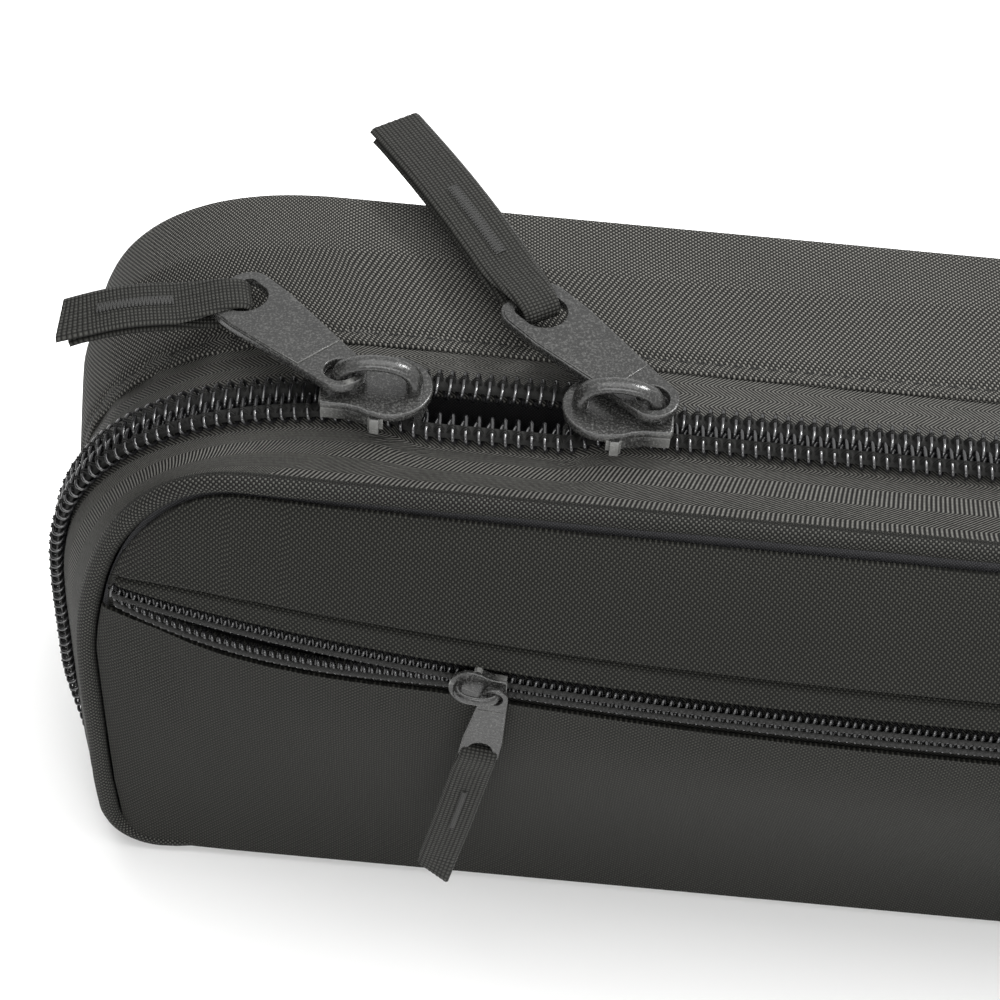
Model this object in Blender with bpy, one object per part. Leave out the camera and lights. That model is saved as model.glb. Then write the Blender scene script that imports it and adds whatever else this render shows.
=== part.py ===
"""Drum stick bag: a slim zip-around fabric case that stands on its spine.

Frame: metres. X runs along the bag, the pocket side faces -Y, Z is up. The origin is the centre
of the spine's flat underside. The front cover folds down about the spine's front edge.
"""

import math

import bmesh
import bpy
from mathutils import Matrix, Vector

MM = 0.001

# Driving dimensions
LENGTH = 440 * MM  # between the front seam's ends
HEIGHT = 104 * MM  # spine to the front seam's top
DEPTH = 62 * MM  # front seam to rear seam
BELLY = 18 * MM  # how far the packed front face stands out
REAR_BELLY = 5 * MM
FOOT = 15 * MM  # height at which the zipper and the gusset meet the spine panel
SPINE_CORNER = 9 * MM
SPINE_FRONT = 1.5 * MM  # depth of the spine panel's front edge behind the front seam
SPINE_MIDDLE = (SPINE_FRONT + DEPTH) / 2
CLEAR = 0.35 * MM  # gap kept between touching pieces

FABRIC = 0.8 * MM
FOAM = 3.0 * MM
BOARD = 1.2 * MM
LINING = 0.5 * MM

CHAIN_MIDDLE = 14.5 * MM  # depth of the main zipper's centre line
CHAIN_HALF = 5.0 * MM
CHAIN_TALL = 2.8 * MM
NECK_GAP = 1.6 * MM  # room between the two coils for the sliders' necks
TAPE = 0.5 * MM
TAPE_OUT = -0.2 * MM  # outer face of the main tapes, from the skin
HEM = 28.7 * MM  # depth of the gusset's folded hem
PIPING = 2.0 * MM  # radius
CORE = 1.2 * MM

# The bag's skin: depth behind the front seam, outward rise, corner half-axes along X and Z
SKIN = (
    (0.0, 0.0, 30 * MM, 55 * MM),
    (9 * MM, 3.5 * MM, 56 * MM, 44 * MM),
    (HEM, 3.8 * MM, 56 * MM, 44 * MM),
    (48 * MM, 6.0 * MM, 46 * MM, 40 * MM),
    (DEPTH, 5.0 * MM, 44 * MM, 38 * MM),
)
CORNER_POWER = 0.88
CORNER_STEPS = 9
STRAIGHT_STEPS = 6

# Sliders: places along X of the main zipper's two and of the pocket's one
LEFT_SLIDER = -170.7 * MM
RIGHT_SLIDER = -132 * MM
SLIDER_LONG = 18 * MM
SLIDER_WIDE = 13.5 * MM
PLATE = 1.5 * MM
CHANNEL_ROOM = 0.7 * MM
SPREAD = 2.2 * MM  # how far each half of the zipper parts between the two sliders

BAIL_X = 5.7 * MM  # from a slider's middle to the place where its puller hangs
BAIL_UP = 1.8 * MM  # above the slider's plate
BAIL_Z = TAPE + CLEAR + CHAIN_TALL + CHANNEL_ROOM + PLATE + BAIL_UP
LEFT_LEAN = 0.02

PULLER_LONG = 35.5 * MM
PULLER_WIDE = 12.6 * MM
PULLER_THICK = 1.6 * MM
PULLER_BEHIND = 3.7 * MM  # how far it reaches behind its hinge axis
PULL_HOLE_X = 26.5 * MM
PULLER_HOLES = (
    ("bail_hole", 0.5 * MM, 2.9 * MM, 2.7 * MM),
    ("strap_hole", PULL_HOLE_X, 3.0 * MM, 3.8 * MM),
)
LEFT_PULL_HOLE = (-194.0 * MM, 32.4 * MM, 110.8 * MM)
RIGHT_PULL_HOLE = (-146 * MM, 33.2 * MM, 114.2 * MM)

WEBBING_WIDE = 10 * MM
WEBBING_THICK = 2.6 * MM
STRAP_PIVOT = 5 * MM  # from the puller's hole to the strap's hinge axis
STRAP_START = 5.8 * MM  # where the flat strap starts, beyond its axis
STRAP_BOW = 1.2 * MM
LEFT_STRAP_END = (-224.5 * MM, 28 * MM, 108.3 * MM)
RIGHT_STRAP_END = (-174 * MM, 76 * MM, 114.3 * MM)

POCKET_ZIP = 75 * MM  # height of the pocket zipper
POCKET_SLIDER = -150 * MM
POCKET_CHAIN_HALF = 2.7 * MM
POCKET_CHAIN_TALL = 1.6 * MM
POCKET_TAPE = 9 * MM
POCKET_GAP = 1.0 * MM
POCKET_UNDER = 0.8 * MM  # from the panels' outer rim to the tape's face
POCKET_SCALE = 0.53  # size of the pocket's slider against the main ones
POCKET_STRAP_LONG = 36 * MM
POCKET_STRAP_WIDE = 6.5 * MM
POCKET_STRAP_THICK = 1.8 * MM

FRONT_FACE = -0.6 * MM  # depth of the front panels' rim
BACKING = 1.5 * MM  # depth of the layers behind the pocket
REAR_FACE = DEPTH + CLEAR


def clear_scene():
    for obj in list(bpy.data.objects):
        bpy.data.objects.remove(obj, do_unlink=True)


def material(name, colour, roughness, metallic=0.0):
    made = bpy.data.materials.get(name)
    if made is None:
        made = bpy.data.materials.new(name)
        made.use_nodes = True
        shader = made.node_tree.nodes["Principled BSDF"]
        shader.inputs["Base Color"].default_value = (*colour, 1.0)
        shader.inputs["Roughness"].default_value = roughness
        shader.inputs["Metallic"].default_value = metallic
    made.diffuse_color = (*colour, 1.0)
    return made


def mesh_object(name, bm, colour, roughness=0.85, metallic=0.0, smooth=True):
    bmesh.ops.recalc_face_normals(bm, faces=bm.faces)
    if bm.calc_volume(signed=True) < 0:
        bmesh.ops.reverse_faces(bm, faces=bm.faces)
    mesh = bpy.data.meshes.new(name)
    bm.to_mesh(mesh)
    bm.free()
    obj = bpy.data.objects.new(name, mesh)
    bpy.context.scene.collection.objects.link(obj)
    mesh.materials.append(material(name, colour, roughness, metallic))
    if smooth:
        mesh.shade_smooth()
        mesh.set_sharp_from_angle(angle=math.radians(40))
    return obj


def between(low, high, share):
    return low + (high - low) * share


def skin_at(depth):
    """Outward rise and corner half-axes of the skin at a depth behind the front seam."""
    for (near, *low), (far, *high) in zip(SKIN, SKIN[1:]):
        if depth <= far:
            share = max(depth - near, 0.0) / (far - near)
            return [between(a, b, share) for a, b in zip(low, high)]
    return list(SKIN[-1][1:])


def straight_places(start):
    """X of the points along the top, denser where the zipper is open between the sliders."""
    gap = [LEFT_SLIDER + SLIDER_LONG / 2, RIGHT_SLIDER - SLIDER_LONG / 2]
    dense = [between(gap[0], gap[1], n / 4) for n in range(5)]
    after = [between(gap[1] + 12 * MM, -start, n / STRAIGHT_STEPS) for n in range(STRAIGHT_STEPS)]
    return [x for x in dense + after if x > start + MM]


def parting(x):
    """Share of the full parting of the zipper's halves at a place along X."""
    low = LEFT_SLIDER + SLIDER_LONG / 2
    high = RIGHT_SLIDER - SLIDER_LONG / 2
    if not low < x < high:
        return 0.0
    return math.sin(math.pi * (x - low) / (high - low)) ** 2


def rail(depth, out=0.0, foot=FOOT, part=0.0):
    """One long edge of a band: up the left end, over the top and down the right end."""
    part *= min(max(1 - (abs(depth - CHAIN_MIDDLE) - CHAIN_HALF) / (4 * MM), 0.0), 1.0)
    rise, corner_x, corner_z = skin_at(depth)
    half = LENGTH / 2 + rise + out
    top = HEIGHT + rise + out
    wide = corner_x + out
    tall = corner_z + out
    left = [Vector((-half, 0, foot)), Vector((-half, 0, (foot + top - tall) / 2))]
    for step in range(CORNER_STEPS + 1):
        turn = math.pi / 2 * step / CORNER_STEPS
        x = -half + wide - wide * math.cos(turn) ** CORNER_POWER
        z = top - tall + tall * math.sin(turn) ** CORNER_POWER
        left.append(Vector((x, 0, z)))
    right = [Vector((-p.x, 0, p.z)) for p in reversed(left)]
    top_line = [Vector((x, 0, top)) for x in straight_places(max(left[-1].x, -167 * MM))]
    for point in left + top_line + right:
        point.y = depth + part * parting(point.x)
    return left + top_line + right


def loft(rails, name, colour, roughness=0.85, metallic=0.0):
    """A closed solid whose cross-section's corners run along the rails."""
    bm = bmesh.new()
    rows = [[bm.verts.new(point) for point in line] for line in rails]
    for row, after in zip(rows, rows[1:] + rows[:1]):
        for n in range(len(row) - 1):
            bm.faces.new((row[n], row[n + 1], after[n + 1], after[n]))
    bm.faces.new([row[0] for row in rows])
    bm.faces.new([row[-1] for row in reversed(rows)])
    return mesh_object(name, bm, colour, roughness, metallic)


def band(name, depths, out, thick, colour, foot=FOOT, part=0.0, roughness=0.85):
    """A strip that follows the skin through the given depths, its outer face at out."""
    outer = [rail(depth, out, foot, part) for depth in depths]
    inner = [rail(depth, out - thick, foot, part) for depth in reversed(depths)]
    return loft(outer + inner, name, colour, roughness)


def belly_at(x, z):
    """How far the front face stands out at a point."""
    along = 1 - math.exp(-max(LENGTH / 2 - abs(x), 0.0) / (50 * MM))
    height = min(max(z / HEIGHT, 0.0), 1.0)
    return BELLY * along * math.sin(math.pi * height**1.67)


def rear_belly_at(x, z):
    share = max(1 - (2 * x / LENGTH) ** 4, 0.0)
    height = min(max(z / HEIGHT, 0.0), 1.0)
    return -REAR_BELLY * share * math.sin(math.pi * height)


def outline_top(x, inset, depth):
    """Height of the outline's upper edge over a place along X."""
    rise, corner_x, corner_z = skin_at(depth)
    half = LENGTH / 2 + rise - inset
    top = HEIGHT + rise - inset
    wide = corner_x - inset
    tall = corner_z - inset
    inward = (half - abs(x)) / wide
    if inward >= 1:
        return top
    cosine = max(1 - inward, 0.0) ** (1 / CORNER_POWER)
    return top - tall + tall * max(1 - cosine**2, 0.0) ** (CORNER_POWER / 2)


def outline_half(z, inset, depth):
    """Half the outline's length at a height."""
    rise, corner_x, corner_z = skin_at(depth)
    half = LENGTH / 2 + rise - inset
    wide = corner_x - inset
    tall = corner_z - inset
    climbed = (z - (HEIGHT + rise - inset - tall)) / tall
    if climbed <= 0:
        return half
    sine = climbed ** (1 / CORNER_POWER)
    return half - wide + wide * math.sqrt(max(1 - sine**2, 0.0)) ** CORNER_POWER


def outline_bottom(x, inset, depth, low):
    """Height of the outline's lower edge, rounded at the ends."""
    half = LENGTH / 2 + skin_at(depth)[0] - inset
    radius = SPINE_CORNER
    inward = (half - abs(x)) / radius
    if inward >= 1:
        return low
    return low + radius * (1 - math.sqrt(max(1 - (1 - inward) ** 2, 0.0)))


def sheet_places(half):
    """X of a sheet's columns, close together at the rounded ends."""
    ends = [half * (1 - share) for share in (0.0, 0.012, 0.04, 0.085, 0.15, 0.24)]
    inner = [half * share for share in (0.58, 0.36, 0.12)]
    right = [*reversed(inner), *reversed(ends)]
    return [-x for x in reversed(right)] + right


def sheet(name, colour, face, thick, inset, depth, low, swell=None, swell_share=1.0,
          bottom=None, top=None, reach=0.0, rows=6, roughness=0.85):
    """A panel inside the outline, from a lower edge to an upper edge, following a swelling face.

    reach is the height at which it is as long as the outline.
    """
    half = outline_half(reach, inset, depth)
    bottom = bottom or (lambda x: outline_bottom(x, inset, depth, low))
    top = top or (lambda x: outline_top(x, inset, depth))
    bm = bmesh.new()
    grid = []
    for x in sheet_places(half):
        x = min(max(x, -half + 0.5 * MM), half - 0.5 * MM)
        column = []
        for row in range(rows + 1):
            z = between(bottom(x), top(x), row / rows)
            y = face - (swell(x, z) * swell_share if swell else 0.0)
            column.append((Vector((x, y, z)), Vector((x, y + thick, z))))
        grid.append(column)
    front = [[bm.verts.new(pair[0]) for pair in column] for column in grid]
    back = [[bm.verts.new(pair[1]) for pair in column] for column in grid]
    for a, b in zip(range(len(grid)), range(1, len(grid))):
        for r in range(rows):
            bm.faces.new((front[a][r], front[b][r], front[b][r + 1], front[a][r + 1]))
            bm.faces.new((back[a][r], back[a][r + 1], back[b][r + 1], back[b][r]))
        bm.faces.new((front[a][0], back[a][0], back[b][0], front[b][0]))
        bm.faces.new((front[a][rows], front[b][rows], back[b][rows], back[a][rows]))
    for r in range(rows):
        bm.faces.new((front[0][r], front[0][r + 1], back[0][r + 1], back[0][r]))
        bm.faces.new((front[-1][r], back[-1][r], back[-1][r + 1], front[-1][r + 1]))
    return mesh_object(name, bm, colour, roughness)


def spine_rail(depth, out, top):
    """A rail of the spine panel: down the left end, along the floor and up the right end."""
    half = LENGTH / 2 + skin_at(depth)[0] + out
    radius = SPINE_CORNER + out
    left = [Vector((-half, depth, top))]
    for step in range(6):
        turn = math.pi / 2 * step / 5
        x = -half + radius - radius * math.cos(turn)
        z = -out + radius - radius * math.sin(turn)
        left.append(Vector((x, depth, z)))
    return left + [Vector((-p.x, p.y, p.z)) for p in reversed(left)]


def spine_layer(name, depths, inset, thick, top, colour):
    outer = [spine_rail(depth, -inset, top) for depth in depths]
    inner = [spine_rail(depth, -inset - thick, top) for depth in reversed(depths)]
    return loft(outer + inner, name, colour)


BLACK = (0.040, 0.039, 0.036)
GUSSET_BLACK = (0.060, 0.057, 0.055)
TAPE_BLACK = (0.030, 0.030, 0.030)
COIL_BLACK = (0.012, 0.012, 0.013)
LINING_GREY = (0.090, 0.090, 0.095)
FOAM_GREY = (0.30, 0.30, 0.31)
BOARD_GREY = (0.16, 0.16, 0.17)
METAL = (0.070, 0.070, 0.068)
WEBBING = (0.022, 0.022, 0.021)


def make_rear_shell():
    gusset = [HEM, 36 * MM, 48 * MM, 57 * MM, DEPTH]
    band("rear_gusset", gusset, 0.0, FABRIC, GUSSET_BLACK)
    inner = [HEM + 3 * MM, 48 * MM, DEPTH - MM]
    foam_out = -FABRIC - CLEAR
    band("rear_gusset_foam", inner, foam_out, FOAM, FOAM_GREY, foot=FOOT + 4 * MM)
    lining_out = foam_out - FOAM - CLEAR
    band("rear_gusset_lining", inner, lining_out, LINING, LINING_GREY, foot=FOOT + 4 * MM)

    tape_depths = [CHAIN_MIDDLE + NECK_GAP / 2, CHAIN_MIDDLE + CHAIN_HALF, HEM - CLEAR]
    band("rear_zipper_tape", tape_depths, TAPE_OUT, TAPE, TAPE_BLACK, part=SPREAD)
    make_coil("rear_zipper_coil", 1, TAPE_OUT + CLEAR)

    layers = dict(depth=DEPTH, low=1.5 * MM, swell=rear_belly_at)
    sheet("rear_panel", BLACK, REAR_FACE, FABRIC, 0.5 * MM, **layers)
    back = DEPTH - 0.5 * MM
    sheet("rear_panel_foam", FOAM_GREY, back - FOAM, FOAM, 6 * MM, **{**layers, "low": 6 * MM})
    back -= FOAM + CLEAR
    sheet("rear_panel_lining", LINING_GREY, back - LINING, LINING, 6 * MM,
          **{**layers, "low": 6 * MM})


def make_coil(name, side, base):
    """One half of the main zipper's coil: side is 1 behind the centre line and -1 in front."""
    inner = CHAIN_MIDDLE + side * NECK_GAP / 2
    outer = CHAIN_MIDDLE + side * CHAIN_HALF
    part = side * SPREAD
    edge = 0.9 * MM
    rails = [
        rail(inner, base, part=part),
        rail(inner, base + CHAIN_TALL, part=part),
        rail(outer - side * edge, base + CHAIN_TALL, part=part),
        rail(outer, base + CHAIN_TALL - edge, part=part),
        rail(outer, base, part=part),
    ]
    return loft(rails, name, COIL_BLACK, 0.3)


def make_spine():
    depths = [SPINE_FRONT, 20 * MM, 42 * MM, DEPTH]
    top = FOOT - CLEAR
    spine_layer("spine_panel", depths, 0.0, FABRIC, top, BLACK)
    inner = [3 * MM, 30 * MM, DEPTH - 5 * MM]
    spine_layer("spine_board", inner, FABRIC + CLEAR, BOARD, top - MM, BOARD_GREY)
    inset = FABRIC + BOARD + 2 * CLEAR
    spine_layer("spine_lining", inner, inset, LINING, top - MM, LINING_GREY)


def pocket_profile(share):
    """Bulge of the stick pockets over their height: two lobes with the dividing seam between."""
    return abs(math.sin(2 * math.pi * share)) ** 0.7


STICK_LEFT = -200 * MM
STICK_MOUTH = 110 * MM
STICK_LOW = 10 * MM
STICK_HIGH = 92 * MM
STICK_BULGE = 15 * MM
STICK_SEAM = DEPTH - FOAM - LINING - 3 * CLEAR - 0.6 * MM


def stick_section(x, face, thick, fullness):
    """Closed cross-section of the pocket sheet at a place along X."""
    steps = 12
    outer = []
    inner = []
    for step in range(steps + 1):
        share = step / steps
        z = between(STICK_LOW, STICK_HIGH, share)
        y = face - STICK_BULGE * fullness * pocket_profile(share)
        outer.append(Vector((x, y - thick, z)))
        inner.append(Vector((x, y, z)))
    return outer + inner[::-1]


def make_stick_pocket():
    """The sheet that makes two sleeves for sticks against the rear lining, open at their mouth."""
    places = [(STICK_LEFT, 0.0), (-185 * MM, 0.45), (-165 * MM, 0.8), (-135 * MM, 1.0)]
    places += [(-50 * MM, 1.0), (30 * MM, 1.0), (STICK_MOUTH, 1.0)]
    sections = [stick_section(x, STICK_SEAM, FABRIC, full) for x, full in places]
    rails = [list(line) for line in zip(*sections)]
    loft(rails, "stick_pocket_panel", LINING_GREY)
    edge = STICK_MOUTH + CLEAR
    ends = [edge, edge + 9 * MM]
    sections = [stick_section(x, STICK_SEAM, 1.2 * MM, 1.0) for x in ends]
    loft([list(line) for line in zip(*sections)], "stick_pocket_binding", TAPE_BLACK)


def make_front_cover():
    rim = dict(depth=0.0, low=1.5 * MM)
    inset = 2 * PIPING + 0.3 * MM
    tape_low = POCKET_ZIP - POCKET_TAPE
    tape_high = POCKET_ZIP + POCKET_TAPE
    gap = POCKET_GAP / 2
    upper_edge = tape_high - 4 * MM
    lower_edge = POCKET_ZIP - POCKET_CHAIN_HALF - 1.5 * MM
    sheet("front_upper_panel", BLACK, FRONT_FACE - FABRIC, FABRIC, inset, **rim, swell=belly_at,
          bottom=lambda x: upper_edge, reach=upper_edge + 2 * MM, rows=3)
    sheet("front_pocket_panel", BLACK, FRONT_FACE - FABRIC, FABRIC, inset, **rim, swell=belly_at,
          top=lambda x: min(lower_edge, outline_top(x, inset, 0.0)))
    under = FRONT_FACE + POCKET_UNDER
    sheet("pocket_zipper_upper_tape", TAPE_BLACK, under, TAPE, inset + 2 * MM, **rim,
          swell=belly_at, bottom=lambda x: POCKET_ZIP + gap, top=lambda x: tape_high,
          reach=tape_high, rows=1)
    sheet("pocket_zipper_lower_tape", TAPE_BLACK, under, TAPE, inset + 2 * MM, **rim,
          swell=belly_at, bottom=lambda x: tape_low, top=lambda x: POCKET_ZIP - gap,
          reach=tape_high, rows=1)
    coil_face = under - CLEAR - POCKET_CHAIN_TALL
    far = POCKET_ZIP + POCKET_CHAIN_HALF
    sheet("pocket_zipper_upper_coil", COIL_BLACK, coil_face, POCKET_CHAIN_TALL, inset + 2 * MM,
          **rim, swell=belly_at, bottom=lambda x: POCKET_ZIP + gap, top=lambda x: far,
          reach=tape_high, rows=1, roughness=0.3)
    near = POCKET_ZIP - POCKET_CHAIN_HALF
    sheet("pocket_zipper_lower_coil", COIL_BLACK, coil_face, POCKET_CHAIN_TALL, inset + 2 * MM,
          **rim, swell=belly_at, bottom=lambda x: near, top=lambda x: POCKET_ZIP - gap,
          reach=tape_high, rows=1, roughness=0.3)

    share = 0.3
    face = BACKING
    sheet("front_backing_panel", BLACK, face, FABRIC, inset, **rim, swell=belly_at,
          swell_share=share)
    face += FABRIC + CLEAR
    inner = dict(depth=0.0, low=5 * MM, swell=belly_at, swell_share=share)
    sheet("front_foam", FOAM_GREY, face, FOAM, inset, **inner)
    face += FOAM + CLEAR
    sheet("front_lining", LINING_GREY, face, LINING, inset, **inner)

    make_piping()
    depths = [PIPING + CLEAR, 5 * MM, CHAIN_MIDDLE - CHAIN_HALF, CHAIN_MIDDLE - NECK_GAP / 2]
    band("front_zipper_tape", depths, TAPE_OUT, TAPE, TAPE_BLACK, part=-SPREAD)
    make_coil("front_zipper_coil", -1, TAPE_OUT + CLEAR)


def ring_rails(radius, sides):
    """Rails of a round cord that lies on the front seam."""
    rails = []
    for side in range(sides):
        turn = 2 * math.pi * side / sides
        shift = radius * math.sin(turn)
        line = rail(0.0, radius * math.cos(turn) - PIPING)
        for point in line:
            point.y = shift
        rails.append(line)
    return rails


def make_piping():
    """A fabric tube round a cord; the tube is open at its two ends by the spine."""
    sides = 10
    outer = ring_rails(PIPING, sides)
    inner = ring_rails(CORE + CLEAR, sides)
    bm = bmesh.new()
    shells = []
    for rails in (outer, inner):
        shells.append([[bm.verts.new(point) for point in line] for line in rails])
    for rows in shells:
        for row, after in zip(rows, rows[1:] + rows[:1]):
            for n in range(len(row) - 1):
                bm.faces.new((row[n], row[n + 1], after[n + 1], after[n]))
    outside, inside = shells
    for end in (0, -1):
        for side in range(sides):
            after = (side + 1) % sides
            bm.faces.new((outside[side][end], outside[after][end],
                          inside[after][end], inside[side][end]))
    mesh_object("front_piping_cover", bm, BLACK)
    loft(ring_rails(CORE, 8), "front_piping_cord", FOAM_GREY)


def outline_prism(points, thick):
    """A flat plate of the given outline in the XY plane, from z = 0 to z = thick."""
    bm = bmesh.new()
    low = [bm.verts.new((x, y, 0.0)) for x, y in points]
    high = [bm.verts.new((x, y, thick)) for x, y in points]
    bm.faces.new(low[::-1])
    bm.faces.new(high)
    count = len(points)
    for n in range(count):
        after = (n + 1) % count
        bm.faces.new((low[n], low[after], high[after], high[n]))
    return bm


def slider_outline(long, wide):
    """Plan of a slider's plate: round and broad at the mouth, narrower and square at the tail."""
    half = wide / 2
    points = [(-long / 2, -half * 0.72), (-long / 2, half * 0.72)]
    points.append((-long * 0.12, half * 0.82))
    for step in range(9):
        turn = math.radians(80 - 20 * step)
        x = long * 0.13 + math.cos(turn) * long * 0.37
        points.append((x, half * math.sin(turn)))
    points.append((-long * 0.12, -half * 0.82))
    return points


def arch(long, tall, width, thick, sides=8):
    """The bridge over a slider that its puller hangs on, along X and standing on z = 0."""
    bm = bmesh.new()
    half = long / 2
    rows = []
    steps = 10
    for step in range(steps + 1):
        turn = math.pi * step / steps
        centre = Vector((-half * math.cos(turn), 0, tall * math.sin(turn) ** 0.6))
        outward = Vector((-math.cos(turn), 0, math.sin(turn)))
        across = Vector((0, 1, 0))
        ring = []
        for side in range(sides):
            angle = 2 * math.pi * side / sides
            offset = outward * math.cos(angle) * thick / 2 + across * math.sin(angle) * width / 2
            ring.append(bm.verts.new(centre + offset))
        rows.append(ring)
    for row, after in zip(rows, rows[1:]):
        for n in range(sides):
            m = (n + 1) % sides
            bm.faces.new((row[n], row[m], after[m], after[n]))
    bm.faces.new(rows[0])
    bm.faces.new(rows[-1][::-1])
    return bm


def helper(name, bm):
    obj = mesh_object(name, bm, METAL, smooth=False)
    obj.hide_render = True
    obj.display_type = "WIRE"
    return obj


def boolean(obj, other, operation):
    modifier = obj.modifiers.new(other.name, "BOOLEAN")
    modifier.operation = operation
    modifier.object = other
    modifier.solver = "EXACT"


def box_mesh(low, high):
    bm = bmesh.new()
    bmesh.ops.create_cube(bm, size=1.0)
    size = Vector(high) - Vector(low)
    middle = (Vector(high) + Vector(low)) / 2
    for vert in bm.verts:
        vert.co = Vector((vert.co.x * size.x, vert.co.y * size.y, vert.co.z * size.z)) + middle
    return bm


def make_slider(name, place, chain, scale, mouth):
    """Two plates joined by a neck at the mouth, with a bridge on top.

    chain is the height of what runs through it and the room left above and below that. mouth is 1
    if the mouth faces its own +X. Its own z = 0 is the underside of the zipper tape.
    """
    long = SLIDER_LONG * scale
    wide = SLIDER_WIDE * scale
    plate = PLATE * scale
    tall, room = chain
    below = -room - plate
    above = tall + room
    outline = [(mouth * x, y) for x, y in slider_outline(long, wide)]
    upper = outline_prism(outline, plate)
    upper.transform(Matrix.Translation((0, 0, above)))
    body = mesh_object(name, upper, METAL, 0.45, 0.6)
    lower = outline_prism([(x * 0.94, y * 0.9) for x, y in outline], plate)
    lower.transform(Matrix.Translation((0, 0, below)))
    neck_half = 0.5 * MM * (1.0 if scale > 0.8 else 0.3)
    ends = sorted((mouth * long * 0.22, mouth * long * 0.42))
    neck = box_mesh((ends[0], -neck_half, below + plate / 2), (ends[1], neck_half, above + plate / 2))
    bridge = arch(long * 0.68, 5.7 * MM * scale, 2.7 * MM * scale, 1.8 * MM * scale)
    bridge.transform(Matrix.Translation((0, 0, above + plate - 0.6 * MM * scale)))
    for part_name, bm in (("lower", lower), ("neck", neck), ("bridge", bridge)):
        other = helper(f"{name}_{part_name}", bm)
        other.parent = body
        boolean(body, other, "UNION")
    body.matrix_world = place


def hole_cutter(centre, half_x, half_y, thick):
    points = []
    for step in range(12):
        turn = 2 * math.pi * step / 12
        points.append((centre + half_x * math.cos(turn), half_y * math.sin(turn)))
    bm = outline_prism(points, thick * 4)
    bm.transform(Matrix.Translation((0, 0, -thick * 2)))
    return bm


def make_puller(name, place, scale):
    """A flat plate along its own +X from the hinge axis at x = 0, with a hole at each end."""
    thick = PULLER_THICK * scale
    near = -PULLER_BEHIND * scale
    far = (PULLER_LONG - PULLER_BEHIND) * scale
    wide = PULLER_WIDE * scale
    narrow = wide * 0.74
    side = [(near, narrow * 0.28), (near + 1.4 * MM * scale, narrow * 0.44)]
    side += [(near + 4 * MM * scale, narrow / 2), (far * 0.72, wide / 2), (far * 0.90, wide / 2)]
    side += [(far - 0.6 * MM * scale, wide * 0.42), (far, wide * 0.28)]
    points = [(x, -y) for x, y in side] + side[::-1]
    bm = outline_prism(points, thick)
    bm.transform(Matrix.Translation((0, 0, -thick / 2)))
    plate = mesh_object(name, bm, METAL, 0.45, 0.6)
    for hole_name, centre, half_x, half_y in PULLER_HOLES:
        cutter = hole_cutter(centre * scale, half_x * scale, half_y * scale, thick)
        other = helper(f"{name}_{hole_name}", cutter)
        other.parent = plate
        boolean(plate, other, "DIFFERENCE")
    plate.matrix_world = place


def axes(origin, along, up):
    """A placing matrix from its origin, its +X direction and roughly its +Z direction."""
    x = Vector(along).normalized()
    y = Vector(up).cross(x).normalized()
    z = x.cross(y)
    matrix = Matrix((x, y, z)).transposed().to_4x4()
    matrix.translation = Vector(origin)
    return matrix


def make_webbing(name, place, start, end, wide, thick):
    """A doubled strap along its own +X that bows a little out of its plane."""
    bm = bmesh.new()
    rows = []
    steps = 8
    for step in range(steps + 1):
        share = step / steps
        x = between(start, end, share)
        z = STRAP_BOW * math.sin(math.pi * share)
        ring = [(x, -wide / 2, z - thick / 2), (x, wide / 2, z - thick / 2),
                (x, wide / 2, z + thick / 2), (x, -wide / 2, z + thick / 2)]
        rows.append([bm.verts.new(corner) for corner in ring])
    for row, after in zip(rows, rows[1:]):
        for n in range(4):
            m = (n + 1) % 4
            bm.faces.new((row[n], row[m], after[m], after[n]))
    bm.faces.new(rows[0])
    bm.faces.new(rows[-1][::-1])
    strap = mesh_object(name, bm, WEBBING)
    strap.matrix_world = place


def make_main_slider(side, x, mouth, lean, pull_hole, strap_end):
    """A slider of the main zipper with its puller and strap.

    lean is the slope of the zipper there. pull_hole is the middle of the hole in the puller's free
    end, and strap_end is the strap's free end.
    """
    tape_under = HEIGHT + skin_at(CHAIN_MIDDLE)[0] + TAPE_OUT - TAPE
    origin = Vector((x, CHAIN_MIDDLE, tape_under))
    along = Vector((math.cos(lean), 0, math.sin(lean)))
    chain = (TAPE + CLEAR + CHAIN_TALL, CHANNEL_ROOM)
    make_slider(f"{side}_slider_body", axes(origin, along, (0, 0, 1)), chain, 1.0, mouth)

    bail = origin - along * mouth * BAIL_X + Vector((0, 0, BAIL_Z))
    pull_along = (Vector(pull_hole) - bail).normalized()
    make_puller(f"{side}_puller", axes(bail, pull_along, (0, 0, 1)), 1.0)

    hole = bail + pull_along * PULL_HOLE_X
    strap_along = (Vector(strap_end) - hole).normalized()
    pivot = hole + strap_along * STRAP_PIVOT
    long = (Vector(strap_end) - pivot).length
    make_webbing(f"{side}_pull_strap", axes(pivot, strap_along, (0, 0, 1)), STRAP_START, long,
                 WEBBING_WIDE, WEBBING_THICK)


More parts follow.
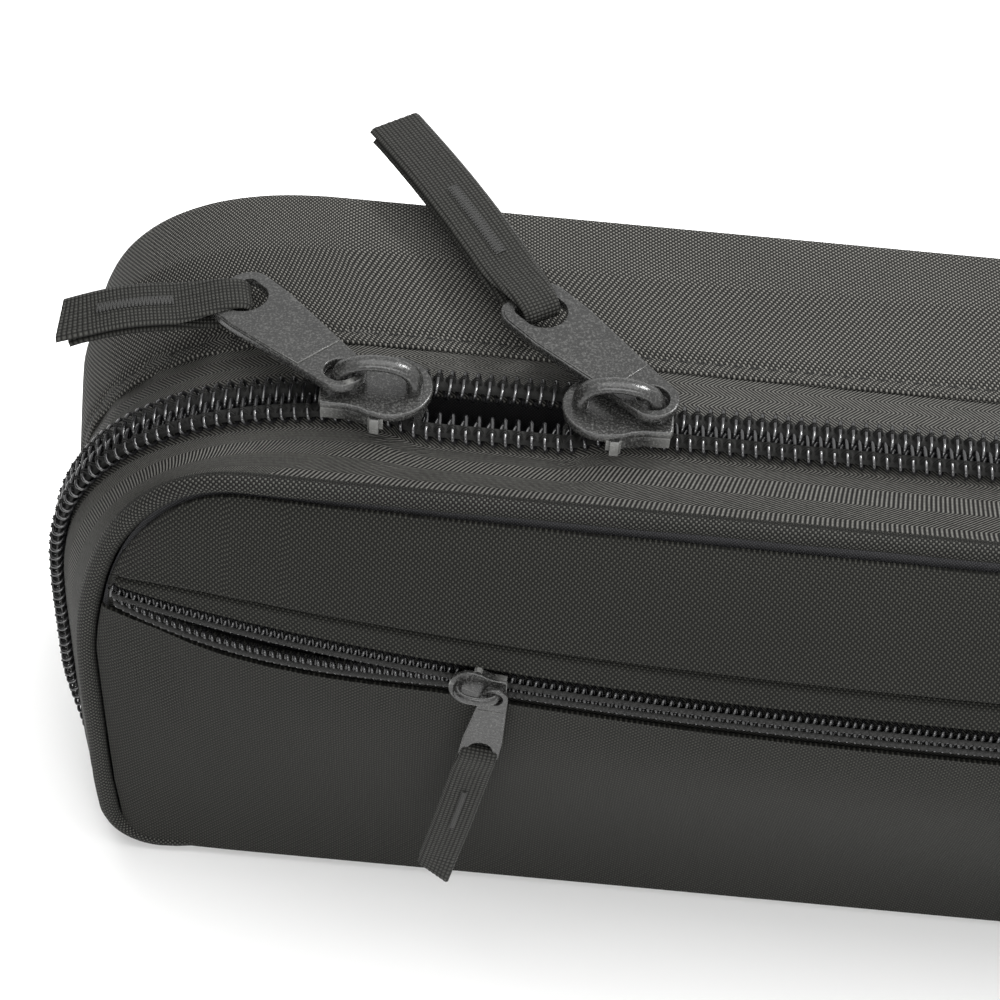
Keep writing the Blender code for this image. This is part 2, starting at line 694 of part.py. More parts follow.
def make_pocket_slider():
    """The pocket zipper's slider, its puller hanging down the front face, and its strap."""
    x = POCKET_SLIDER
    out = FRONT_FACE + POCKET_UNDER + TAPE - belly_at(x, POCKET_ZIP)
    step = 3 * MM
    across = (belly_at(x + step, POCKET_ZIP) - belly_at(x - step, POCKET_ZIP)) / (2 * step)
    upward = (belly_at(x, POCKET_ZIP + step) - belly_at(x, POCKET_ZIP - step)) / (2 * step)
    along = Vector((1, -across, 0)).normalized()
    outward = Vector((-across, -1, -upward)).normalized()
    origin = Vector((x, out, POCKET_ZIP))
    chain = (TAPE + CLEAR + POCKET_CHAIN_TALL, CHANNEL_ROOM)
    make_slider("pocket_slider_body", axes(origin, along, outward), chain, POCKET_SCALE, -1)

    lift = chain[0] + CHANNEL_ROOM + (PLATE + BAIL_UP) * POCKET_SCALE
    bail = origin + along * BAIL_X * POCKET_SCALE + outward * lift
    down = Vector((-0.12, -0.02, -1)).normalized()
    make_puller("pocket_puller", axes(bail, down, (0, -1, 0)), POCKET_SCALE)
    hole = bail + down * PULL_HOLE_X * POCKET_SCALE
    strap_along = Vector((-0.16, 0.05, -1)).normalized()
    make_webbing("pocket_pull_strap", axes(hole, strap_along, (0, -1, 0)), STRAP_START * 0.8,
                 POCKET_STRAP_LONG, POCKET_STRAP_WIDE, POCKET_STRAP_THICK)


def shift_to_origin():
    """Bring the middle of the spine's underside, modelled behind the front seam, to the origin."""
    frame = bpy.data.objects.new("bag_frame", None)
    bpy.context.scene.collection.objects.link(frame)
    for obj in bpy.data.objects:
        if obj.parent is None and obj is not frame:
            obj.parent = frame
    frame.location.y = -SPINE_MIDDLE


if __name__ == "__main__":
    clear_scene()
    make_rear_shell()
    make_spine()
    make_stick_pocket()
    make_front_cover()
    make_main_slider("left", LEFT_SLIDER, 1, LEFT_LEAN, LEFT_PULL_HOLE, LEFT_STRAP_END)
    make_main_slider("right", RIGHT_SLIDER, -1, 0.0, RIGHT_PULL_HOLE, RIGHT_STRAP_END)
    make_pocket_slider()
    shift_to_origin()
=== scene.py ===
"""Looks of the drum stick bag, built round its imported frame.

Lengths are in metres. Meshes are worked out with y as the depth behind the front seam, and SEAM
brings them into the row frame.
"""

import math

import bpy
import numpy as np
from mathutils import Matrix, Vector


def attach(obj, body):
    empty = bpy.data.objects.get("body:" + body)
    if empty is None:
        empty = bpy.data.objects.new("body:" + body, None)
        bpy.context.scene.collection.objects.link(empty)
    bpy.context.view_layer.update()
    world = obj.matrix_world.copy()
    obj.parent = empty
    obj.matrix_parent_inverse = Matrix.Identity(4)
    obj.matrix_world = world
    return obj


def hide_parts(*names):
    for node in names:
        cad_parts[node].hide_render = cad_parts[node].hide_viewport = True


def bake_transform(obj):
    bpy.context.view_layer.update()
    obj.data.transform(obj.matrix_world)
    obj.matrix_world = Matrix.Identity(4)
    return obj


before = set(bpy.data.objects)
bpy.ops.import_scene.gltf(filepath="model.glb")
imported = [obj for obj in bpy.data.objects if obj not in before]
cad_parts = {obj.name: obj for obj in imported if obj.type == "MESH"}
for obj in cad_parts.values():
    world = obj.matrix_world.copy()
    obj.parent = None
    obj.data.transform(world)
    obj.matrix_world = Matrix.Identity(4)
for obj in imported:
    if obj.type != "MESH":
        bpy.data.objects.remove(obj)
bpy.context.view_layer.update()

MM = 0.001
SEAM = -31.75 * MM  # y of the front seam

# The bag's driving sizes, as in the frame
LENGTH = 440 * MM
HEIGHT = 104 * MM
DEPTH = 62 * MM
BELLY = 18 * MM
REAR_BELLY = 5 * MM
FOOT = 15 * MM
SPINE_CORNER = 9 * MM
SPINE_FRONT = 1.5 * MM
CHAIN_MIDDLE = 14.5 * MM
HEM = 28.7 * MM
PIPING = 2.0 * MM
FABRIC = 0.8 * MM
SKIN = (
    (0.0, 0.0, 30 * MM, 55 * MM),
    (9 * MM, 3.5 * MM, 56 * MM, 44 * MM),
    (HEM, 3.8 * MM, 56 * MM, 44 * MM),
    (48 * MM, 6.0 * MM, 46 * MM, 40 * MM),
    (DEPTH, 5.0 * MM, 44 * MM, 38 * MM),
)
CORNER_POWER = 0.88

LEFT_SLIDER = -170.7 * MM
RIGHT_SLIDER = -132 * MM
POCKET_SLIDER = -150 * MM
POCKET_ZIP = 75 * MM

# Zippers: size 10 in the main seam, size 5 at the pocket
MAIN_PITCH = 2.11 * MM
POCKET_PITCH = 1.3 * MM
SPREAD_BACK = 3.2 * MM
SPREAD_FRONT = 2.6 * MM

SIDE_STEPS = 18
CORNER_STEPS = 34
TOP_STEPS = 190


# ---------------------------------------------------------------- materials

class Net:
    """A node tree with short ways to add the nodes used here."""

    def __init__(self, name):
        self.material = bpy.data.materials.new(name)
        self.material.use_nodes = True
        self.tree = self.material.node_tree
        self.shader = self.tree.nodes["Principled BSDF"]

    def node(self, kind, **settings):
        made = self.tree.nodes.new(kind)
        for key, value in settings.items():
            setattr(made, key, value)
        return made

    def feed(self, socket, value):
        if isinstance(value, (int, float)):
            socket.default_value = value
        elif isinstance(value, tuple):
            socket.default_value = (*value, 1.0)
        else:
            self.tree.links.new(value, socket)

    def math(self, operation, *values):
        made = self.node("ShaderNodeMath", operation=operation)
        for socket, value in zip(made.inputs, values):
            self.feed(socket, value)
        return made.outputs[0]

    def blend(self, share, low, high):
        made = self.node("ShaderNodeMix", data_type="RGBA")
        self.feed(made.inputs[0], share)
        self.feed(made.inputs[6], low)
        self.feed(made.inputs[7], high)
        return made.outputs[2]

    def uv(self):
        split = self.node("ShaderNodeSeparateXYZ")
        self.tree.links.new(self.node("ShaderNodeUVMap", uv_map="cloth").outputs[0], split.inputs[0])
        return split.outputs[0], split.outputs[1]

    def noise(self, scale, detail=3.0):
        made = self.node("ShaderNodeTexNoise")
        made.inputs["Scale"].default_value = scale
        made.inputs["Detail"].default_value = detail
        place = self.node("ShaderNodeTexCoord").outputs["Object"]
        self.tree.links.new(place, made.inputs["Vector"])
        return made.outputs["Fac"]

    def bump(self, height, depth, normal=None):
        made = self.node("ShaderNodeBump")
        made.inputs["Strength"].default_value = 1.0
        made.inputs["Distance"].default_value = depth
        self.feed(made.inputs["Height"], height)
        if normal is not None:
            self.tree.links.new(normal, made.inputs["Normal"])
        return made.outputs[0]

    def finish(self, colour, roughness, normal=None, **constants):
        self.feed(self.shader.inputs["Base Color"], colour)
        self.feed(self.shader.inputs["Roughness"], roughness)
        if normal is not None:
            self.tree.links.new(normal, self.shader.inputs["Normal"])
        for key, value in constants.items():
            self.shader.inputs[key.replace("_", " ")].default_value = value
        return self.material


def crossing(net, u, v, pitch_u, pitch_v):
    """Height of a plain weave, 0 between the threads and 1 on their backs, and which set is on top."""
    cell_u = net.math("DIVIDE", u, pitch_u)
    cell_v = net.math("DIVIDE", v, pitch_v)
    off_u = net.math("SUBTRACT", net.math("FRACT", cell_u), 0.5)
    off_v = net.math("SUBTRACT", net.math("FRACT", cell_v), 0.5)
    steps = net.math("ADD", net.math("FLOOR", cell_u), net.math("FLOOR", cell_v))
    over = net.math("FLOORED_MODULO", steps, 2.0)

    def back(across, along):
        round_back = net.math("MULTIPLY_ADD", net.math("MULTIPLY", across, across), -3.4, 1.0)
        dive = net.math("COSINE", net.math("MULTIPLY", along, math.pi * 0.95))
        return net.math("MULTIPLY", round_back, dive)

    first = back(off_v, off_u)
    second = back(off_u, off_v)
    gap = net.math("SUBTRACT", second, first)
    return net.math("MULTIPLY_ADD", gap, over, first), over


def woven(name, colour, light, pitch, depth, roughness=0.66):
    """Plain-woven cloth with threads of the given pitch."""
    net = Net(name)
    u, v = net.uv()
    wander = net.noise(90.0, 2.0)
    u = net.math("MULTIPLY_ADD", wander, pitch * 0.9, u)
    v = net.math("MULTIPLY_ADD", wander, -pitch * 0.7, v)
    height, over = crossing(net, u, v, pitch, pitch)
    uneven = net.noise(1500.0, 2.0)
    slub = 0.35  # how far thick and thin places change the threads' tone
    # Painted highlight and shade: the backs of one set of threads are painted towards the light colour,
    # while the other set and the gaps between the threads stay at the dark colour as painted shade.
    painted_highlight = net.math("MULTIPLY", height, net.math("MULTIPLY_ADD", over, -0.93, 1.0))
    painted_highlight = net.math("MULTIPLY", painted_highlight, net.math("MULTIPLY_ADD", uneven, slub * 2, 1.0 - slub))
    # Large patches where the painted highlight is stronger or weaker.
    wear_and_highlight = net.math("MULTIPLY_ADD", net.noise(22.0, 4.0), 0.5, 0.75)
    tint = net.blend(net.math("MULTIPLY", painted_highlight, wear_and_highlight), colour, light)
    rough = net.math("MULTIPLY_ADD", height, -0.16, roughness + 0.1)
    normal = net.bump(height, depth, net.bump(uneven, depth * 0.25))
    return net.finish(tint, rough, normal, Sheen_Weight=0.012, Sheen_Roughness=0.5,
                      Specular_IOR_Level=0.12)


def herringbone(name, colour, light, pitch, stripe, depth):
    """Zipper tape: diagonal ribs that turn back at every stripe."""
    net = Net(name)
    u, v = net.uv()
    turn = net.math("PINGPONG", v, stripe)
    slant = net.math("MULTIPLY_ADD", turn, 1.15, u)
    ribs = net.math("SINE", net.math("MULTIPLY", slant, 2 * math.pi / pitch))
    ribs = net.math("MULTIPLY_ADD", ribs, 0.5, 0.5)
    picks = net.math("SINE", net.math("MULTIPLY", v, 2 * math.pi / (pitch * 0.62)))
    picks = net.math("MULTIPLY_ADD", picks, 0.5, 0.5)
    height = net.math("MULTIPLY", ribs, net.math("MULTIPLY_ADD", picks, 0.15, 0.85))
    uneven = net.noise(1800.0, 2.0)
    # Painted highlight: the ribs' crowns are painted towards the light colour, and the grooves between
    # them stay dark as painted shade.
    painted_highlight = net.math("POWER", height, 1.6)
    painted_highlight = net.math("MULTIPLY", painted_highlight, net.math("MULTIPLY_ADD", uneven, 1.2, 0.5))
    tint = net.blend(painted_highlight, colour, light)
    normal = net.bump(height, depth, net.bump(uneven, depth * 0.2))
    return net.finish(tint, 0.6, normal, Specular_IOR_Level=0.14)


def ribbed(name, colour, light, pitch, depth):
    """Narrow webbing: rows of thick threads along the strap, crossed by picks."""
    net = Net(name)
    u, v = net.uv()
    height, _ = crossing(net, u, v, pitch, pitch * 1.15)
    uneven = net.noise(2200.0, 2.0)
    # Painted highlight: the threads' crowns are painted towards the light colour, and the gaps between
    # them stay dark as painted shade.
    painted_highlight = net.math("MULTIPLY", height, net.math("MULTIPLY_ADD", uneven, 0.9, 0.5))
    tint = net.blend(painted_highlight, colour, light)
    rough = net.math("MULTIPLY_ADD", height, -0.2, 0.66)
    normal = net.bump(height, depth, net.bump(uneven, depth * 0.2))
    return net.finish(tint, rough, normal, Specular_IOR_Level=0.14)


def powder_coat(name, colour, wear_and_highlight):
    """Matt black coat on a die casting, with fine grain, and paler edges and speckles that are partly
    wear and partly painted highlight.
    """
    net = Net(name)
    grain = net.noise(2600.0, 3.0)
    patches = net.noise(160.0, 4.0)
    bevel = net.node("ShaderNodeNewGeometry").outputs["Pointiness"]
    # The sharp edges are painted towards the pale colour, partly as wear and partly as painted
    # highlight.
    edge = net.math("MULTIPLY", net.math("SUBTRACT", bevel, 0.53), 7.0)
    edge = net.math("MINIMUM", net.math("MAXIMUM", edge, 0.0), 1.0)
    # Pale speckles from the grain: painted glints.
    painted_glints = net.math("MAXIMUM", net.math("MULTIPLY_ADD", grain, 3.0, -1.45), 0.0)
    share = net.math("MULTIPLY_ADD", patches, 0.05, net.math("MULTIPLY", edge, 0.7))
    share = net.math("ADD", share, net.math("MULTIPLY", painted_glints, 0.3))
    tint = net.blend(share, colour, wear_and_highlight)
    rough = net.math("MULTIPLY_ADD", grain, 0.2, 0.14)
    normal = net.bump(grain, 0.00004)
    return net.finish(tint, rough, normal, Specular_IOR_Level=0.5)


def monofilament(name, colour):
    """Glossy black coil wire with slight streaks."""
    net = Net(name)
    streak = net.noise(900.0, 2.0)
    rough = net.math("MULTIPLY_ADD", streak, 0.16, 0.10)
    tint = net.blend(streak, colour, tuple(c * 2.2 for c in colour))
    return net.finish(tint, rough, net.bump(streak, 0.00002), Specular_IOR_Level=0.9)


def thread(name, colour):
    """Sewing thread: a fine twist, whose ridges are painted lighter as a painted highlight."""
    net = Net(name)
    u, v = net.uv()
    twist = net.math("SINE", net.math("MULTIPLY", net.math("ADD", u, v), 2 * math.pi / (0.35 * MM)))
    tint = net.blend(net.math("MULTIPLY_ADD", twist, 0.5, 0.5), colour, tuple(c * 1.9 for c in colour))
    return net.finish(tint, 0.5, net.bump(twist, 0.00005), Specular_IOR_Level=0.3)


def foam(name, colour):
    """Closed-cell foam: fine pits, painted darker as painted shade."""
    net = Net(name)
    cells = net.noise(1300.0, 4.0)
    tint = net.blend(cells, colour, tuple(c * 1.35 for c in colour))
    return net.finish(tint, 0.9, net.bump(cells, 0.0001))


def plastic_board(name, colour):
    net = Net(name)
    haze = net.noise(60.0, 4.0)
    grain = net.noise(3000.0, 2.0)
    tint = net.blend(haze, colour, tuple(c * 1.25 for c in colour))
    return net.finish(tint, 0.55, net.bump(grain, 0.00003))


# The gusset and cover fabrics are one black cloth in two copies. The gusset's copy, also used on the
# back and spine, is painted lighter for the light from above. The cover's copy is painted darker for
# the shade on the front. Together they are painted light and painted shade.
GUSSET_LIT_COPY = woven("gusset_fabric", (0.0025, 0.0025, 0.0022), (0.175, 0.171, 0.156), 0.45 * MM, 0.00016)
COVER_SHADED_COPY = woven("cover_fabric", (0.005, 0.005, 0.0044), (0.044, 0.044, 0.038), 0.45 * MM, 0.00012)
PIPE = woven("piping_fabric", (0.003, 0.003, 0.0028), (0.080, 0.080, 0.072), 0.45 * MM, 0.00012)
LINING = woven("lining_fabric", (0.050, 0.050, 0.053), (0.13, 0.13, 0.135), 0.3 * MM, 0.00005, 0.5)
TAPE = herringbone("tape_fabric", (0.002, 0.002, 0.0018), (0.115, 0.113, 0.104), 0.72 * MM,
                   2.4 * MM, 0.00016)
POCKET_TAPE = herringbone("pocket_tape_fabric", (0.003, 0.003, 0.0027), (0.045, 0.045, 0.041),
                          0.6 * MM, 2.0 * MM, 0.0001)
BINDING = herringbone("binding_fabric", (0.010, 0.010, 0.0095), (0.07, 0.07, 0.064), 0.8 * MM,
                      1.5 * MM, 0.00012)
STRAP = ribbed("webbing_fabric", (0.0025, 0.0025, 0.0022), (0.042, 0.042, 0.038), 0.62 * MM, 0.00022)
COIL = monofilament("coil_plastic", (0.006, 0.006, 0.0065))
THREAD = thread("sewing_thread", (0.006, 0.006, 0.0055))
# The bartack thread is the sewing thread painted lighter, a painted sheen on its dense satin stitches.
TACK_PAINTED_SHEEN = thread("bartack_thread", (0.026, 0.026, 0.025))
# The second colour is the pale tone of the edges and speckles: partly wear, partly painted highlight.
METAL = powder_coat("slider_coat", (0.010, 0.010, 0.0096), (0.24, 0.24, 0.23))
PAD = foam("pad_foam", (0.035, 0.035, 0.037))
BOARD = plastic_board("board_plastic", (0.10, 0.10, 0.105))


# ---------------------------------------------------------------- meshes

def grid_faces(rows, cols, wrap=False):
    """Quads of a grid whose vertices run row by row; wrap joins the last row to the first."""
    faces = []
    for r in range(rows if wrap else rows - 1):
        after = (r + 1) % rows
        base = np.arange(cols - 1)
        faces.append(np.stack([r * cols + base, r * cols + base + 1,
                               after * cols + base + 1, after * cols + base], axis=1))
    return np.concatenate(faces)


def end_caps(rows, count):
    """The end polygons of a grid of closed rows side by side, each of this many points."""
    first = [r * count for r in range(rows)]
    return [first, [start + count - 1 for start in first[::-1]]]


def lean_in(x, z):
    """The ends of the filled bag lean in towards their feet."""
    lean = np.interp(z, (8 * MM, 20 * MM, 40 * MM, 58 * MM), (3.0 * MM, 1.9 * MM, 1.1 * MM, 0.5 * MM))
    lean = lean * np.clip((HEIGHT * 1.05 - z) / (40 * MM), 0.0, 1.0)
    share = np.clip((np.abs(x) - 150 * MM) / (60 * MM), 0.0, 1.0)
    return x - np.sign(x) * lean * share * share * (3 - 2 * share)


def piece(name, shape, material, body, node=None, place=None, angle=45):
    """Make a mesh, facing outwards, that rides on a body. shape is its points, quads, caps and uv."""
    points, faces, caps, uv = shape
    points = np.array(points, float)
    if place is None:
        points[:, 0] = lean_in(points[:, 0], points[:, 2])
        points[:, 1] += SEAM
    else:
        matrix = np.array(place)
        points = points @ matrix[:3, :3].T + matrix[:3, 3]
    polygons = [list(map(int, f)) for f in faces] + [list(map(int, cap)) for cap in caps]
    corners = np.array([(p[0], a, b) for p in polygons for a, b in zip(p[1:], p[2:])])
    if np.linalg.det(points[corners] - points.mean(axis=0)).sum() < 0:
        polygons = [p[::-1] for p in polygons]
    mesh = bpy.data.meshes.new(name)
    mesh.from_pydata(points.tolist(), [], polygons)
    mesh.validate()
    layer = mesh.uv_layers.new(name="cloth")
    index = np.zeros(len(mesh.loops), int)
    mesh.loops.foreach_get("vertex_index", index)
    layer.data.foreach_set("uv", np.array(uv, float)[index].ravel())
    mesh.materials.append(material)
    mesh.shade_smooth()
    mesh.set_sharp_from_angle(angle=math.radians(angle))
    obj = bpy.data.objects.new(name, mesh)
    bpy.context.scene.collection.objects.link(obj)
    if body:
        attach(obj, body)
    if node:
        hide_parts(node)
    return obj


def closed_rows(rows, uvs):
    """Points, quads, caps and uv of rows that lie side by side round a closed section."""
    count = len(rows[0])
    return (np.concatenate(rows), grid_faces(len(rows), count, wrap=True), end_caps(len(rows), count),
            np.concatenate(uvs))


def along(points):
    """Distance from the first point to each point of a line."""
    steps = np.linalg.norm(np.diff(points, axis=0), axis=1)
    return np.concatenate([[0.0], np.cumsum(steps)])


def unit(vectors):
    return vectors / np.maximum(np.linalg.norm(vectors, axis=-1, keepdims=True), 1e-12)


def tube_mesh(line, wide, tall, side, sides=6):
    """Points, quads, caps and uv of a rod along a line. side is a direction across it at each point."""
    line = np.array(line, float)
    tangent = unit(np.gradient(line, axis=0))
    side = np.broadcast_to(np.array(side, float), line.shape)
    side = unit(side - tangent * np.sum(side * tangent, axis=1, keepdims=True))
    up = np.cross(tangent, side)
    wide = np.broadcast_to(wide, (len(line),))
    tall = np.broadcast_to(tall, (len(line),))
    rows = []
    turn = 2 * math.pi * np.arange(sides) / sides
    for angle in turn:
        rows.append(line + side * (wide * math.cos(angle))[:, None]
                    + up * (tall * math.sin(angle))[:, None])
    points = np.concatenate(rows)
    count = len(line)
    run = along(line)
    uv = np.concatenate([np.stack([run, np.full(count, a * float(np.mean(wide)))], axis=1)
                         for a in turn])
    return points, grid_faces(sides, count, wrap=True), end_caps(sides, count), uv


def join(parts):
    """One set of points, faces, caps and uv from several."""
    points, faces, caps, uvs = [], [], [], []
    start = 0
    for p, f, c, uv in parts:
        points.append(p)
        faces.append(np.array(f) + start)
        caps += [[i + start for i in cap] for cap in c]
        uvs.append(uv)
        start += len(p)
    return np.concatenate(points), np.concatenate(faces), caps, np.concatenate(uvs)


def smooth(value):
    value = np.clip(value, 0.0, 1.0)
    return value * value * (3 - 2 * value)


# ---------------------------------------------------------------- the bag's skin

def skin_at(depth):
    """Outward rise and corner half-axes of the skin at a depth behind the front seam."""
    rows = np.array(SKIN)
    return [float(np.interp(depth, rows[:, 0], rows[:, n])) for n in (1, 2, 3)]


def rail(depth, foot=FOOT):
    """The skin's line at a depth: up the left end, over the top, down the right end."""
    rise, corner_x, corner_z = skin_at(depth)
    half = LENGTH / 2 + rise
    top = HEIGHT + rise
    side = np.linspace(foot, top - corner_z, SIDE_STEPS, endpoint=False)
    left = [np.stack([np.full(SIDE_STEPS, -half), side], axis=1)]
    turn = np.linspace(0, math.pi / 2, CORNER_STEPS + 1)
    cosine = np.clip(np.cos(turn), 0, 1) ** CORNER_POWER
    sine = np.sin(turn) ** CORNER_POWER
    left.append(np.stack([-half + corner_x * (1 - cosine), top - corner_z * (1 - sine)], axis=1))
    left = np.concatenate(left)
    middle = np.linspace(left[-1, 0], -left[-1, 0], TOP_STEPS + 1)[1:-1]
    top_line = np.stack([middle, np.full(len(middle), top)], axis=1)
    flat = np.concatenate([left, top_line, left[::-1] * [-1, 1]])
    return np.stack([flat[:, 0], np.full(len(flat), depth), flat[:, 1]], axis=1)


def outward(line):
    """Directions out of the skin along one of its lines."""
    tangent = unit(np.gradient(line, axis=0))
    return np.stack([-tangent[:, 2], np.zeros(len(line)), tangent[:, 0]], axis=1)


def opened(x):
    """Share of the full parting of the main zipper's halves at a place along X."""
    rising = smooth((x - LEFT_SLIDER - 0.5 * MM) / (8 * MM))
    falling = smooth((RIGHT_SLIDER - 0.5 * MM - x) / (8 * MM))
    return rising * falling


def parted(x, depth):
    """How far a point of the tapes or coils moves along the depth where the zipper is open."""
    if depth >= CHAIN_MIDDLE:
        share = (HEM - depth) / (HEM - CHAIN_MIDDLE - 5 * MM)
        return SPREAD_BACK * opened(x) * min(max(share, 0.0), 1.0)
    share = (depth - PIPING) / (CHAIN_MIDDLE - 5 * MM - PIPING)
    return -SPREAD_FRONT * opened(x) * min(max(share, 0.0), 1.0)


def sweep(name, section, material, body, node, foot=FOOT, wrinkle=None, part=False):
    """A band that follows the skin. section is its closed outline as (depth, out of the skin)."""
    rows = []
    uvs = []
    run = along(rail(CHAIN_MIDDLE, foot))
    walked = along(np.array([(d, o) for d, o in section]))
    for (depth, out), v in zip(section, walked):
        line = rail(depth, foot)
        normal = outward(line)
        extra = wrinkle(run, depth) if wrinkle else np.zeros(len(run))
        line = line + normal * (out + extra)[:, None]
        if part:
            line[:, 1] += parted(line[:, 0], depth)
        rows.append(line)
        uvs.append(np.stack([run, np.full(len(run), depth if depth > 0 else v)], axis=1))
    shape = closed_rows(rows, uvs)
    return piece(name, shape, material, body, node)


def strip_section(near, far, out, thick, steps=10):
    """Outline of a flat strip with rounded edges."""
    depths = np.linspace(near, far, steps + 1)
    top = [(d, out) for d in depths[1:-1]]
    edge = thick / 2
    far_edge = [(far - edge * 0.3, out - edge * 0.1), (far, out - edge),
                (far - edge * 0.3, out - thick)]
    under = [(d, out - thick) for d in depths[-2:0:-1]]
    near_edge = [(near + edge * 0.3, out - thick), (near, out - edge),
                 (near + edge * 0.3, out - edge * 0.1)]
    return top + far_edge + under + near_edge


def main_path():
    """The zipper's line with its tangent and outward directions, by distance along it."""
    line = rail(CHAIN_MIDDLE)
    fine = np.linspace(0, along(line)[-1], 3000)
    dense = np.stack([np.interp(fine, along(line), line[:, n]) for n in range(3)], axis=1)
    kernel = np.ones(9) / 9
    padded = np.pad(dense, ((4, 4), (0, 0)), mode="edge")
    dense = np.stack([np.convolve(padded[:, n], kernel, mode="valid") for n in range(3)], axis=1)
    return fine, dense, outward(dense)


def at(path, distance):
    """Point and outward direction on a path at some distances."""
    fine, line, normal = path
    point = np.stack([np.interp(distance, fine, line[:, n]) for n in range(3)], axis=1)
    out = np.stack([np.interp(distance, fine, normal[:, n]) for n in range(3)], axis=1)
    return point, unit(out)


def loop_section(turn, inner, outer, low, high):
    """Across and up on one turn of a coil: flat legs above and below, round at head and heel."""
    cosine = np.cos(turn)
    sine = np.sin(turn)
    across = (inner + outer) / 2 - (outer - inner) / 2 * np.sign(cosine) * np.abs(cosine) ** 0.72
    up = (low + high) / 2 + (high - low) / 2 * np.sign(sine) * np.abs(sine) ** 0.62
    return across, up


def make_coil(name, side, body, node, spread):
    """One half of the main zipper's coil with its two rows of sewing thread."""
    path = main_path()
    length = path[0][-1]
    turns = int(length / MAIN_PITCH) - 1
    steps = 18
    turn = np.arange(turns * steps + 1) * 2 * math.pi / steps
    shift = 0.0 if side > 0 else MAIN_PITCH / 2
    distance = turn / (2 * math.pi) * MAIN_PITCH + shift
    distance += 0.22 * MAIN_PITCH * np.cos(turn) * 0.6
    across, up = loop_section(turn, -0.75 * MM, 4.62 * MM, 0.12 * MM, 2.3 * MM)
    point, out = at(path, distance)
    tangent = np.stack([out[:, 2], np.zeros(len(out)), -out[:, 0]], axis=1)

    def sunk(distance):
        """How far the coil has dipped under the tape, near the seam's ends."""
        near_end = np.minimum(distance, length - distance)
        return 2.4 * MM * (1 - smooth(near_end / (24 * MM)))

    line = point + out * (up - sunk(distance))[:, None]
    line[:, 1] += side * (across + spread * opened(line[:, 0]))
    coil = tube_mesh(line, 0.33 * MM, 0.30 * MM, tangent, 7)
    piece(name, coil, COIL, body, node, angle=80)

    rows = []
    for row in (2.45 * MM, 2.95 * MM):
        distance = np.arange(turns * 8 - 80) * MAIN_PITCH / 8 + 5 * MAIN_PITCH + shift
        point, out = at(path, distance)
        beat = np.cos(2 * math.pi * (distance - shift) / MAIN_PITCH - math.pi / 2)
        line = point + out * ((1.95 + 0.75 * beat) * MM - sunk(distance))[:, None]
        wobble = 0.12 * MM * np.sin(distance / MAIN_PITCH * math.pi)
        line[:, 1] += side * (row + wobble + spread * opened(line[:, 0]))
        rows.append(tube_mesh(line, 0.17 * MM, 0.14 * MM, (0, 1, 0), 5))
    piece(name + "_thread", join(rows), THREAD, body, None, angle=80)
    distance = np.linspace(3 * MM, length - 3 * MM, 700)
    cord_line, out = at(path, distance)
    cord_line = cord_line + out * (1.0 * MM - sunk(distance))[:, None]
    cord_line[:, 1] += side * (2.3 * MM + spread * opened(cord_line[:, 0]))
    cord = tube_mesh(cord_line, 1.5 * MM, 0.5 * MM, (0, 1, 0), 8)
    piece(name + "_filler", cord, THREAD, body, None)


# ---------------------------------------------------------------- panels

def belly(x, z):
    """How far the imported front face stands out."""
    reach = np.maximum(LENGTH / 2 - np.abs(x), 0.0)
    height = np.clip(z / HEIGHT, 0.0, 1.0)
    return BELLY * (1 - np.exp(-reach / (50 * MM))) * np.sin(math.pi * height ** 1.67)


def rear_belly(x, z):
    share = np.maximum(1 - (2 * x / LENGTH) ** 4, 0.0)
    return -REAR_BELLY * share * np.sin(math.pi * np.clip(z / HEIGHT, 0.0, 1.0))


def outline_top(x, inset, depth):
    rise, corner_x, corner_z = skin_at(depth)
    half = LENGTH / 2 + rise - inset
    top = HEIGHT + rise - inset
    wide = corner_x - inset
    tall = corner_z - inset
    inward = np.clip((half - np.abs(x)) / wide, 0.0, 1.0)
    cosine = np.clip(1 - inward, 0.0, 1.0) ** (1 / CORNER_POWER)
    return top - tall + tall * np.clip(1 - cosine**2, 0.0, 1.0) ** (CORNER_POWER / 2)


def outline_half(z, inset, depth):
    rise, corner_x, corner_z = skin_at(depth)
    half = LENGTH / 2 + rise - inset
    wide = corner_x - inset
    tall = corner_z - inset
    climbed = (z - (HEIGHT + rise - inset - tall)) / tall
    if climbed <= 0:
        return half
    sine = climbed ** (1 / CORNER_POWER)
    return half - wide + wide * math.sqrt(max(1 - sine**2, 0.0)) ** CORNER_POWER


def outline_bottom(x, inset, depth, low):
    half = LENGTH / 2 + skin_at(depth)[0] - inset
    inward = np.clip((half - np.abs(x)) / SPINE_CORNER, 0.0, 1.0)
    return low + SPINE_CORNER * (1 - np.sqrt(np.clip(1 - (1 - inward) ** 2, 0.0, 1.0)))


def edge_lines(inset, depth, low, trim=0.0):
    """A panel's lower and upper edges, as functions of x."""
    def bottom(x):
        return outline_bottom(x, inset, depth, low)

    def top(x):
        return outline_top(x, inset, depth) - trim

    return bottom, top


